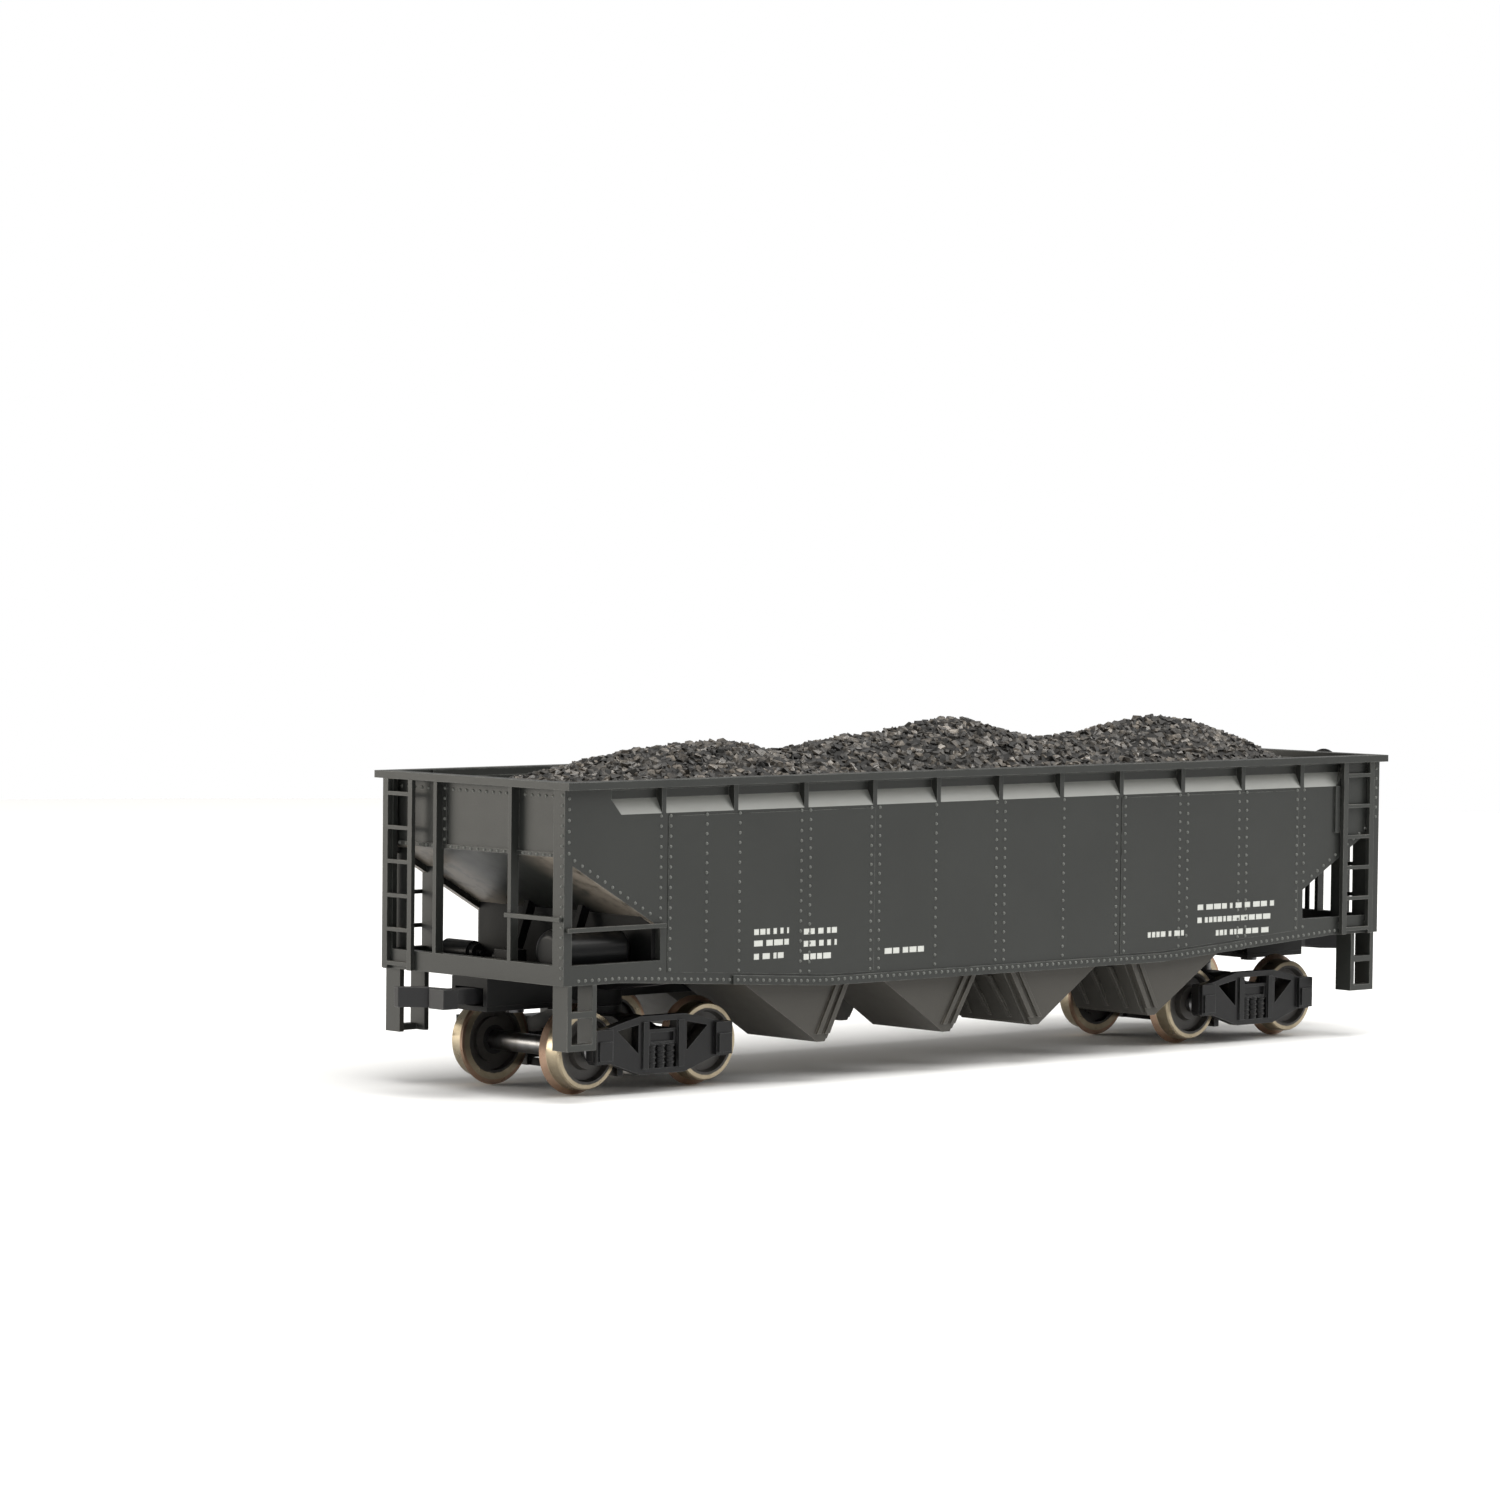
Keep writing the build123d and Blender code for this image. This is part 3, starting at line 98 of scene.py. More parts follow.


# Satin paint: cloudy tone, fine orange peel, a paler edge line (partly worn paint, partly a painted highlight), a
# little settled dust, a painted highlight on faces that lean out under the rim, and painted bounce light under faces
# that look down.
satin, takes, gives = new_group(
    "satin_paint",
    {"Paint": "Color", "Worn": "Color", "Dust": "Color", "Gloss": "Float", "Wear": "Float", "Dustiness": "Float",
     "Ledge": "Float", "Under": "Float"},
    {"Color": "Color", "Roughness": "Float", "Height": "Float"},
)
place = satin.nodes.new("ShaderNodeTexCoord").outputs["Object"]
normal = satin.nodes.new("ShaderNodeNewGeometry").outputs["Normal"]
cloud = noise_of(satin, place, 70.0, 3.0)
grain = noise_of(satin, place, 3800.0, 2.0)
mottle = noise_of(satin, place, 420.0, 4.0, 0.62)
# Paler line along edges: partly worn paint, partly a painted edge highlight.
rounded = put(satin, "ShaderNodeBevel", {"samples": 4}, Radius=0.00016).outputs["Normal"]
facing = put(satin, "ShaderNodeVectorMath", {"operation": "DOT_PRODUCT"}, _0=rounded, _1=normal).outputs["Value"]
edge = ramp_of(satin, math_of(satin, "SUBTRACT", 1.0, facing), 0.01, 0.16)
edge = math_of(satin, "MULTIPLY", edge, ramp_of(satin, mottle, 0.30, 0.62))
edge = math_of(satin, "MULTIPLY", edge, takes["Wear"])
up = put(satin, "ShaderNodeSeparateXYZ", Vector=normal).outputs["Z"]
dust = math_of(satin, "MULTIPLY", ramp_of(satin, up, 0.2, 1.0), ramp_of(satin, mottle, 0.42, 0.70))
dust = math_of(satin, "MULTIPLY", dust, takes["Dustiness"])
tone = put(
    satin, "ShaderNodeHueSaturation",
    Color=takes["Paint"], Value=put(satin, "ShaderNodeMapRange", Value=cloud, To_Min=0.80, To_Max=1.20).outputs[0],
).outputs["Color"]
colour = blend_of(satin, dust, tone, takes["Dust"])
# Painted highlight: faces that lean a little upward, such as the strip under the rim, take the pale second colour.
steep = math_of(satin, "SUBTRACT", 1.0, ramp_of(satin, up, 0.55, 0.75))
ledge = math_of(satin, "MULTIPLY", ramp_of(satin, up, 0.25, 0.40), steep)
ledge = math_of(satin, "MULTIPLY", ledge, takes["Ledge"])
colour = blend_of(satin, ledge, colour, takes["Worn"])
# Painted bounce light: faces that look down near the sides, such as the slope plates' undersides, take the pale warm
# dust colour.
down = ramp_of(satin, math_of(satin, "MULTIPLY", up, -1.0), 0.55, 0.85)
down = math_of(satin, "MULTIPLY", math_of(satin, "MULTIPLY", down, takes["Under"]), ramp_of(satin, mottle, 0.2, 0.6))
outward = math_of(satin, "ABSOLUTE", put(satin, "ShaderNodeSeparateXYZ", Vector=place).outputs["Y"])
down = math_of(satin, "MULTIPLY", down, ramp_of(satin, outward, 0.005, 0.014))
colour = blend_of(satin, down, colour, takes["Dust"])
colour = blend_of(satin, edge, colour, takes["Worn"])
satin.links.new(colour, gives["Color"])
rough = put(satin, "ShaderNodeMapRange", Value=mottle, To_Min=-0.07, To_Max=0.07).outputs[0]
rough = math_of(satin, "ADD", rough, takes["Gloss"])
rough = math_of(satin, "ADD", rough, math_of(satin, "MULTIPLY", dust, 0.25))
satin.links.new(rough, gives["Roughness"])
relief = math_of(satin, "ADD", math_of(satin, "MULTIPLY", mottle, 0.5), grain)
satin.links.new(relief, gives["Height"])


def painted(name, paint, worn_and_lit, dust_and_light_colour, gloss=0.42, wear=0.5, dustiness=0.2, ledge=0.0, under=0.0, level=0.3):
    """A material of satin paint over plastic, from the group."""
    material = bpy.data.materials.new(name)
    material.use_nodes = True
    tree = material.node_tree
    shader = tree.nodes["Principled BSDF"]
    group = put(
        tree, "ShaderNodeGroup", {"node_tree": satin},
        Paint=(*paint, 1), Worn=(*worn_and_lit, 1), Dust=(*dust_and_light_colour, 1), Gloss=gloss, Wear=wear, Dustiness=dustiness,
        Ledge=ledge, Under=under,
    )
    bumped = put(tree, "ShaderNodeBump", Height=group.outputs["Height"], Distance=0.000006, Strength=1.0)
    tree.links.new(group.outputs["Color"], shader.inputs["Base Color"])
    tree.links.new(group.outputs["Roughness"], shader.inputs["Roughness"])
    tree.links.new(bumped.outputs["Normal"], shader.inputs["Normal"])
    shader.inputs["Specular IOR Level"].default_value = level
    material.diffuse_color = (*paint, 1)
    return material


def softened(node, name, body, material, radius):
    """A copy of a CAD node's mesh with its flat faces made whole and its edges rounded, shown in its place."""
    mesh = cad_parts[node].data.copy()
    mesh.name = name
    work = bmesh.new()
    work.from_mesh(mesh)
    bmesh.ops.remove_doubles(work, verts=work.verts, dist=0.0000005)
    bmesh.ops.dissolve_limit(work, angle_limit=math.radians(0.6), verts=work.verts, edges=work.edges)
    for face in work.faces:
        face.smooth = True
    for line in work.edges:
        line.smooth = line.is_manifold and line.calc_face_angle(0) < math.radians(20)
    work.to_mesh(mesh)
    work.free()
    mesh.materials.clear()
    mesh.materials.append(material)
    piece = bpy.data.objects.new(name, mesh)
    bpy.context.scene.collection.objects.link(piece)
    rounding = piece.modifiers.new("edge radius", "BEVEL")
    rounding.width = radius
    rounding.segments = 2
    rounding.limit_method = "ANGLE"
    rounding.angle_limit = math.radians(24)
    rounding.harden_normals = True
    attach(piece, body)
    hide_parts(node)
    return piece


# The pale second colour serves the edge line and the painted highlight on the strip that leans out under the rim; the
# third serves settled dust and the painted bounce light under the slope plates.
GREY_PAINT = (0.023, 0.0245, 0.0225)
GREY_WORN_AND_LIT = (0.30, 0.31, 0.29)
GREY_DUST_AND_LIGHT = (0.30, 0.26, 0.215)
# On the body, ledge sets the painted highlight on the leaning strip under the rim and under sets the painted bounce
# light on the slope plates' undersides.
body_grey = painted("body_grey", GREY_PAINT, GREY_WORN_AND_LIT, GREY_DUST_AND_LIGHT, gloss=0.40, wear=0.3, dustiness=0.12,
                    ledge=0.55, under=0.9)
softened("body_shell", "painted_body", "car_body", body_grey, 0.00007)


def grown(name, body, slot, material, points, faces, smooth=True):
    """A new piece from points and faces."""
    mesh = bpy.data.meshes.new(name)
    mesh.from_pydata(points, [], faces)
    mesh.validate()
    for face in mesh.polygons:
        face.use_smooth = smooth
    mesh.materials.append(material)
    piece = bpy.data.objects.new(name, mesh)
    bpy.context.scene.collection.objects.link(piece)
    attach(piece, body)
    return piece


# ------------------------------------------------------------------ side plates and rivets
# Thin plates lapped on the sides between the double rows of rivets, and the rivets: low domes moulded with the
# body, coloured paler than the body paint, so they show as rows of paler dots.
SIDE_FACE = -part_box("side_rail_a")[1][1] / MM
END_FACE = -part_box("end_rail_a")[1][0] / MM
PANEL_FACE = END_FACE - 1.2
FLANGE_FACE = PANEL_FACE + 0.2
LIP_FACE = PANEL_FACE + 0.3
LAP = 0.07
LAP_INNER, LAP_OUTER = 22.2, 56.6
LAP_TOP = 33.9
CUT_OUT_EDGE = END_FACE - 15.3
SILL_TOP = 16.6


def sill_line(x):
    """Height of the side sill's lower edge, which hangs lower in the middle of the car."""
    return 12.2 + 2.0 * min(1.0, max(0.0, (abs(x) - 30.0) / 34.0))


def slope_line(x):
    """Height of the slope plate's under side at a distance from the middle of the car."""
    return 29.3 - 0.562 * (PANEL_FACE - abs(x))


points, faces = [], []
for side in (-1, 1):
    for end in (-1, 1):
        start = len(points)
        outline = [(x * end, sill_line(x) + 1.35) for x in (LAP_INNER, 30.0, 38.0, 46.0, LAP_OUTER)]
        outline += [(LAP_OUTER * end, LAP_TOP), (LAP_INNER * end, LAP_TOP)]
        for depth in (-0.1, LAP):
            points += [(x * MM, side * (SIDE_FACE + depth) * MM, z * MM) for x, z in outline]
        count = len(outline)
        around = [(start + i, start + (i + 1) % count, start + count + (i + 1) % count, start + count + i)
                  for i in range(count)]
        caps = [tuple(range(start + count - 1, start - 1, -1)), tuple(range(start + count, start + 2 * count))]
        made = around + caps
        faces += made if side * end < 0 else [tuple(reversed(face)) for face in made]
grown("side_plates", "car_body", "body_plastic", body_grey, points, faces, smooth=False)

RIVET_RADIUS = 0.24 * MM
RIVET_HEIGHT = 0.14 * MM
RIVET_PITCH = 1.2
rivet_paint = painted("rivet_paint", (0.095, 0.10, 0.092), (0.26, 0.26, 0.245), GREY_DUST_AND_LIGHT, gloss=0.34, wear=1.0)


def domes(places, outward):
    """Points and faces of one low dome at each place, standing out along outward."""
    outward = Vector(outward)
    across = outward.orthogonal().normalized()
    along = outward.cross(across)
    points, faces = [], []
    turns = [math.tau * i / 8 for i in range(8)]
    for place in places:
        start = len(points)
        for share, rise in ((1.0, -0.2), (0.72, 0.72)):
            for turn in turns:
                spoke = across * math.cos(turn) + along * math.sin(turn)
                points.append(Vector(place) + RIVET_RADIUS * share * spoke + outward * RIVET_HEIGHT * rise)
        points.append(Vector(place) + outward * RIVET_HEIGHT)
        for i in range(8):
            j = (i + 1) % 8
            faces.append((start + i, start + j, start + 8 + j, start + 8 + i))
            faces.append((start + 8 + i, start + 8 + j, start + 16))
    return points, faces


def spaced(low, high, pitch):
    count = max(1, round((high - low) / pitch))
    return [low + (high - low) * i / count for i in range(count + 1)]


columns = [-50.4, -45.0, -11.5, 11.5]
for middle in (-57.0, -34.0, -22.1, 0.0, 22.1, 34.0, 45.5, 57.0):
    columns += [middle - 0.75, middle + 0.75]
side_places = []
for x in columns:
    for z in spaced(sill_line(x) + 1.7, 33.9, RIVET_PITCH):
        if abs(x) + 0.2 < CUT_OUT_EDGE or z < SILL_TOP - 0.3 or z > slope_line(x) - 0.5:
            side_places.append((x, z))
for x in spaced(-70.6, 70.6, 1.05):
    side_places.append((x, max(sill_line(x) + 0.55, 12.9)))
for end in (-1, 1):
    side_places += [(72.3 * end, z) for z in spaced(29.9, 36.4, RIVET_PITCH)]
    side_places += [(x * end, slope_line(x) - 0.05) for x in spaced(59.4, 71.4, RIVET_PITCH)]


def side_depth(x, z):
    """How far the surface under a side rivet stands out: on a lapped plate, on the sill's flange or on neither."""
    if LAP_INNER < abs(x) < LAP_OUTER and z > sill_line(x) + 1.5:
        return SIDE_FACE + LAP
    return SIDE_FACE + (0.3 if abs(x) < 46.0 and z < sill_line(x) + 1.1 else 0.0)


for side, label in ((-1, "near"), (1, "far")):
    heads = [(-side * x * MM, side * side_depth(x, z) * MM, z * MM) for x, z in side_places]
    grown("side_rivets_" + label, "car_body", "body_plastic", rivet_paint, *domes(heads, (0, side, 0)))

PANEL_ROW = 36.5
LIP_ROW = 29.55
POST_CLEAR = 8.4
end_places = []
for side in (-1, 1):
    end_places += [(FLANGE_FACE, side * 6.35, z) for z in spaced(30.4, 36.6, RIVET_PITCH)]
    end_places += [(END_FACE, side * (SIDE_FACE - 0.45), z) for z in spaced(15.2, 36.8, RIVET_PITCH)]
    end_places += [(PANEL_FACE, side * y, PANEL_ROW) for y in spaced(POST_CLEAR, SIDE_FACE - 2.2, RIVET_PITCH)]
    end_places += [(LIP_FACE, side * y, LIP_ROW) for y in spaced(POST_CLEAR, SIDE_FACE - 2.2, RIVET_PITCH)]
end_places += [(PANEL_FACE, y, PANEL_ROW) for y in spaced(-5.0, 5.0, RIVET_PITCH)]
end_places += [(LIP_FACE, y, LIP_ROW) for y in spaced(-5.0, 5.0, RIVET_PITCH)]
for end, label in ((-1, "a"), (1, "b")):
    heads = [(end * x * MM, y * MM, z * MM) for x, y, z in end_places]
    grown("end_rivets_" + label, "car_body", "body_plastic", rivet_paint, *domes(heads, (end, 0, 0)))

# ------------------------------------------------------------------ rim beads
# A small square bead of the body's plastic under the inner edge of the rim on each side, where the rim meets the
# set-back top of the side. It is part of the same moulding and painted with it.
BEAD_INNER, BEAD_OUTER = SIDE_FACE - 1.1, SIDE_FACE - 0.7
BEAD_HALF_LENGTH = 66.0
BEAD_BOTTOM, BEAD_TOP = 37.1, 38.2
points, faces = [], []
for side in (-1, 1):
    start = len(points)
    for x in (-BEAD_HALF_LENGTH, BEAD_HALF_LENGTH):
        for y, z in ((BEAD_INNER, BEAD_BOTTOM), (BEAD_OUTER, BEAD_BOTTOM), (BEAD_OUTER, BEAD_TOP),
                     (BEAD_INNER, BEAD_TOP)):
            points.append((-side * x * MM, side * y * MM, z * MM))
    bead = [(0, 1, 2, 3), (7, 6, 5, 4), (0, 4, 5, 1), (1, 5, 6, 2), (2, 6, 7, 3), (3, 7, 4, 0)]
    faces += [tuple(start + i for i in face) for face in bead]
grown("rim_beads", "car_body", "body_plastic", body_grey, points, faces, smooth=False)

# ------------------------------------------------------------------ data bars
# Plain white bars printed where a car carries its small data, in short blocks that say nothing. The ink is thin
# and a little broken up.
BAR_HEIGHT = 0.72
BAR_INK = 0.025
BARS = (
    (-42.5, -36.7, 19.3), (-34.2, -28.6, 19.0), (-42.5, -36.7, 17.9), (-34.2, -28.6, 17.5), (-42.5, -37.4, 16.3),
    (-34.2, -29.4, 15.9), (-20.3, -13.0, 15.95), (27.4, 34.3, 15.8), (36.9, 52.4, 19.0), (36.9, 51.2, 17.3),
    (40.5, 51.3, 15.5),
)
white_ink = painted("white_ink", (0.52, 0.53, 0.50), (0.16, 0.16, 0.15), GREY_DUST_AND_LIGHT, gloss=0.5, wear=0.6,
                    dustiness=0.3)
dice = random.Random(7)
points, faces = [], []
for low, high, z in BARS:
    x = low
    while x < high - 0.3:
        wide = min(dice.uniform(0.45, 1.5), high - x)
        for side in (-1, 1):
            start = len(points)
            out = side_depth(x, z)
            for depth in (-0.02, BAR_INK):
                for dx, dz in ((0, 0), (wide, 0), (wide, BAR_HEIGHT), (0, BAR_HEIGHT)):
                    points.append((-side * (x + dx) * MM, side * (out + depth) * MM, (z - BAR_HEIGHT / 2 + dz) * MM))
            block = [(3, 2, 1, 0), (4, 5, 6, 7), (0, 1, 5, 4), (1, 2, 6, 5), (2, 3, 7, 6), (3, 0, 4, 7)]
            faces += [tuple(start + i for i in face) for face in block]
        x += wide + dice.choice((0.22, 0.22, 0.6))
grown("data_bars", "car_body", "body_plastic", white_ink, points, faces, smooth=False)

# ------------------------------------------------------------------ coal load
# A moulded load in three mounds with crushed coal glued all over it. The moulding is coloured like the coal, and
# the lumps are loose broken solids, half sunk in the glue, with some glossy faces.
LUMP_PITCH = 0.80
LUMP_KINDS = 14
HIGHEST_RISE = 0.6
load_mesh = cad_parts["coal_load"].data
load_low, load_high = (Vector(corner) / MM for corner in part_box("coal_load"))


def coal_material(name, dark, light, dull, shiny):
    """Broken coal: each lump has its own tone and gloss, with fine pits and pale dust."""
    material = bpy.data.materials.new(name)
    material.use_nodes = True
    tree = material.node_tree
    shader = tree.nodes["Principled BSDF"]
    place = tree.nodes.new("ShaderNodeTexCoord").outputs["Object"]
    lump = tree.nodes.new("ShaderNodeNewGeometry").outputs["Random Per Island"]
    cloud = noise_of(tree, place, 900.0, 3.0, 0.6)
    share = math_of(tree, "MULTIPLY", math_of(tree, "POWER", lump, 1.7), ramp_of(tree, cloud, 0.25, 0.75))
    tone = blend_of(tree, share, (*dark, 1), (*light, 1))
    dusty = ramp_of(tree, noise_of(tree, place, 260.0, 4.0, 0.65), 0.55, 0.78)
    tone = blend_of(tree, math_of(tree, "MULTIPLY", dusty, 0.35), tone, (0.16, 0.145, 0.125, 1))
    tree.links.new(tone, shader.inputs["Base Color"])
    gloss = put(tree, "ShaderNodeMapRange", Value=lump, To_Min=dull, To_Max=shiny).outputs[0]
    tree.links.new(gloss, shader.inputs["Roughness"])
    pits = noise_of(tree, place, 5200.0, 3.0, 0.6)
    bumped = put(tree, "ShaderNodeBump", Height=pits, Distance=0.00003, Strength=0.8)
    tree.links.new(bumped.outputs["Normal"], shader.inputs["Normal"])
    material.diffuse_color = (*dark, 1)
    return material


COAL_DARK = (0.010, 0.0095, 0.0088)
COAL_LIGHT = (0.24, 0.21, 0.175)
coal_bed = coal_material("coal_bed", COAL_DARK, (0.03, 0.028, 0.026), 0.95, 0.85)
load_mesh.materials.clear()
load_mesh.materials.append(coal_bed)

dice = random.Random(21)
kinds = []
for kind in range(LUMP_KINDS):
    shape = bmesh.new()
    for _ in range(11):
        spot = Vector([dice.gauss(0, 1) for _ in range(3)]).normalized()
        shape.verts.new(Vector((spot.x, spot.y * dice.uniform(0.7, 1.0), spot.z * 0.75)) * 0.5)
    hull = bmesh.ops.convex_hull(shape, input=shape.verts)
    loose = [item for item in hull["geom_interior"] + hull["geom_unused"] if isinstance(item, bmesh.types.BMVert)]
    bmesh.ops.delete(shape, geom=loose, context="VERTS")
    shape.verts.index_update()
    kinds.append(([v.co.copy() for v in shape.verts], [tuple(v.index for v in f.verts) for f in shape.faces]))
    shape.free()

bed = BVHTree.FromPolygons([v.co for v in load_mesh.vertices], [tuple(p.vertices) for p in load_mesh.polygons])
points, faces = [], []
for row_x in spaced(load_low.x + 0.5, load_high.x - 0.5, LUMP_PITCH):
    for row_y in spaced(load_low.y + 0.5, load_high.y - 0.5, LUMP_PITCH):
        x = row_x + dice.uniform(-0.42, 0.42)
        y = row_y + dice.uniform(-0.42, 0.42)
        size = dice.uniform(1.9, 2.7) if dice.random() < 0.10 else dice.uniform(0.9, 1.8)
        turn = Matrix.Rotation(dice.uniform(0, math.tau), 3, Vector([dice.gauss(0, 1) for _ in range(3)]))
        rise = dice.uniform(0.3, 1.0)
        shape_points, shape_faces = kinds[dice.randrange(LUMP_KINDS)]
        hit, slope, _, _ = bed.ray_cast(Vector((x, y, 90.0)) * MM, Vector((0, 0, -1)))
        if hit is None or slope.z < 0.2:
            continue
        lump = [turn @ (point * size) for point in shape_points]
        top = max(point.z for point in lump)
        lift = min(HIGHEST_RISE, 0.45 * size) * rise - top
        start = len(points)
        points += [(Vector((x, y, lift)) + point) * MM + Vector((0, 0, hit.z)) for point in lump]
        faces += [tuple(start + i for i in face) for face in shape_faces]
coal_broken = coal_material("coal_broken", COAL_DARK, COAL_LIGHT, 0.66, 0.28)
grown("coal_lumps", "coal_load", "coal", coal_broken, points, faces, smooth=False)

# ------------------------------------------------------------------ ladders, steps and rails
# Fine mouldings in the same grey plastic, pressed into holes in the body. Their paler edges are rubbed paint and a
# painted highlight.
trim_grey = painted("trim_grey", (0.028, 0.0295, 0.027), (0.17, 0.17, 0.155), GREY_DUST_AND_LIGHT, gloss=0.38, wear=0.8)
for node in sorted(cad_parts):
    if any(word in node for word in ("ladder", "rail", "stirrup", "platform")):
        softened(node, "painted_" + node, "car_body", trim_grey, 0.00005)

# ------------------------------------------------------------------ hopper chutes and doors
# Four chutes with ribbed edges, glued under the body, and their doors on the steep side. They are sprayed the
# body's grey and carry more brown dust.
chute_grey = painted("chute_grey", (0.046, 0.043, 0.037), (0.20, 0.19, 0.165), (0.20, 0.165, 0.125), gloss=0.46,
                     wear=0.7, dustiness=0.6)
door_grey = painted("door_grey", (0.040, 0.038, 0.033), (0.19, 0.18, 0.16), (0.19, 0.16, 0.12), gloss=0.48,
                    wear=0.7, dustiness=0.6)
for number in range(1, 5):
    softened(f"hopper_chute_{number}", f"painted_chute_{number}", "car_body", chute_grey, 0.00006)
    softened(f"hopper_door_{number}", f"painted_door_{number}", "car_body", door_grey, 0.00005)

# ------------------------------------------------------------------ underframe and draft box lids
# Black styrene moulding under the body, a little glossier than the paint, with brown dust on its shelves.
under_black = painted("under_black", (0.009, 0.0092, 0.0092), (0.07, 0.07, 0.068), (0.10, 0.085, 0.068),
                      gloss=0.50, wear=0.5, dustiness=0.3, level=0.12)
softened("underframe", "moulded_underframe", "car_body", under_black, 0.00006)
for node in ("draft_lid_a", "draft_lid_b"):
    softened(node, "moulded_" + node, "car_body", under_black, 0.00005)

# ------------------------------------------------------------------ brake gear
# Reservoir, cylinder, valve, housing, hand wheel and rod: separate black mouldings cemented in place, glossier
# than the frame.
gear_black = painted("gear_black", (0.008, 0.0083, 0.0087), (0.08, 0.08, 0.08), (0.10, 0.088, 0.07), gloss=0.34,
                     wear=0.6, dustiness=0.2, level=0.12)
for node in ("air_reservoir", "brake_cylinder", "control_valve", "brake_housing", "brake_wheel", "brake_rod"):
    softened(node, "moulded_" + node, "car_body", gear_black, 0.00005)

# ------------------------------------------------------------------ truck frames
# Each truck is one black acetal moulding: two side frames, bolster and brake beams. Acetal has a slightly waxy
# sheen. Its three springs a side are moulded as coils.
truck_black = painted("truck_black", (0.009, 0.009, 0.0095), (0.075, 0.077, 0.078), (0.085, 0.075, 0.062),
                      gloss=0.36, wear=0.8, dustiness=0.3, level=0.25)
COIL_RADIUS = 0.62
COIL_WIRE = 0.17
COIL_BOTTOM, COIL_TOP = 3.15, 5.85
COIL_TURNS = 4
COIL_STEPS = 14
SPRING_PITCH = 1.5
for end in ("a", "b"):
    low, high = (Vector(corner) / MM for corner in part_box("truck_frame_" + end))
    middle = (low.x + high.x) / 2
    softened("truck_frame_" + end, "moulded_truck_" + end, "truck_" + end, truck_black, 0.00007)
    points, faces = [], []
    for side in (-1, 1):
        for place in (-1, 0, 1):
            core = Vector((middle + place * SPRING_PITCH, side * 12.05, 0))
            start = len(points)
            rings = COIL_TURNS * COIL_STEPS + 1
            for ring in range(rings):
                turn = math.tau * ring / COIL_STEPS
                z = COIL_BOTTOM + (COIL_TOP - COIL_BOTTOM) * ring / (rings - 1)
                spoke = Vector((math.cos(turn), math.sin(turn), 0))
                for corner in range(6):
                    angle = math.tau * corner / 6
                    out = COIL_RADIUS + COIL_WIRE * math.cos(angle)
                    points.append((core + spoke * out + Vector((0, 0, z + COIL_WIRE * math.sin(angle)))) * MM)
            for ring in range(rings - 1):
                for corner in range(6):
                    a = start + ring * 6 + corner
                    b = start + ring * 6 + (corner + 1) % 6
                    faces.append((a, a + 6, b + 6, b))
            faces += [tuple(start + i for i in range(6)),
                      tuple(start + (rings - 1) * 6 + i for i in reversed(range(6)))]
    grown("spring_coils_" + end, "truck_" + end, "truck_plastic", truck_black, points, faces)

# ------------------------------------------------------------------ wheels
# Turned brass wheels: chemically blackened plates, a bright nickel tread and rim, and a flange that has gone tan.
# The tool has left fine rings around each axle.
AXLE_HEIGHT = (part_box("wheels_1")[0][2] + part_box("wheels_1")[1][2]) / 2
TRUCK_CENTRE = sum(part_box("truck_frame_b")[i][0] for i in (0, 1)) / 2
HALF_WHEELBASE = abs(sum(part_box("wheels_4")[i][0] for i in (0, 1)) / 2 - TRUCK_CENTRE)


def wheel_radius(tree):
    """Distance of a point from the nearest axle's middle line, in millimetres."""
    place = tree.nodes.new("ShaderNodeTexCoord").outputs["Object"]
    parts = put(tree, "ShaderNodeSeparateXYZ", Vector=place).outputs
    x = math_of(tree, "SUBTRACT", math_of(tree, "ABSOLUTE", parts["X"]), TRUCK_CENTRE)
    x = math_of(tree, "SUBTRACT", math_of(tree, "ABSOLUTE", x), HALF_WHEELBASE)
    z = math_of(tree, "SUBTRACT", parts["Z"], AXLE_HEIGHT)
    square = math_of(tree, "ADD", math_of(tree, "MULTIPLY", x, x), math_of(tree, "MULTIPLY", z, z))
    return math_of(tree, "MULTIPLY", math_of(tree, "SQRT", square), 1000.0), place


turned = bpy.data.materials.new("turned_wheel")
turned.use_nodes = True
tree = turned.node_tree
shader = tree.nodes["Principled BSDF"]
radius, place = wheel_radius(tree)
stain = noise_of(tree, place, 700.0, 4.0, 0.65)
worn_radius = math_of(tree, "ADD", radius, math_of(tree, "MULTIPLY", math_of(tree, "SUBTRACT", stain, 0.5), 0.25))
rim = ramp_of(tree, worn_radius, 4.05, 4.2)
flange = ramp_of(tree, worn_radius, 4.86, 4.98)
plate = blend_of(tree, stain, (0.022, 0.021, 0.020, 1), (0.055, 0.050, 0.044, 1))
metal = blend_of(tree, stain, (0.26, 0.21, 0.14, 1), (0.50, 0.43, 0.31, 1))
tan = blend_of(tree, stain, (0.26, 0.16, 0.11, 1), (0.46, 0.32, 0.23, 1))
tone = blend_of(tree, flange, blend_of(tree, rim, plate, metal), tan)
tree.links.new(tone, shader.inputs["Base Color"])
tree.links.new(math_of(tree, "MULTIPLY", rim, 0.92), shader.inputs["Metallic"])
gloss = put(tree, "ShaderNodeMapRange", Value=stain, To_Min=0.20, To_Max=0.40).outputs[0]
gloss = math_of(tree, "ADD", gloss, math_of(tree, "MULTIPLY", math_of(tree, "SUBTRACT", 1.0, rim), 0.15))
tree.links.new(gloss, shader.inputs["Roughness"])
rings = math_of(tree, "SINE", math_of(tree, "MULTIPLY", radius, 62.0))
bumped = put(tree, "ShaderNodeBump", Height=rings, Distance=0.000002, Strength=0.6)
tree.links.new(bumped.outputs["Normal"], shader.inputs["Normal"])
for number in range(1, 5):
    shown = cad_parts[f"wheels_{number}"].data
    shown.materials.clear()
    shown.materials.append(turned)

# ------------------------------------------------------------------ axles, bushes, screws, springs and ballast
# Small metal and plastic parts left as they come from the lathe or the press: darkened steel axles and screws,
# black bushes, bronze leaves and a rolled steel plate.


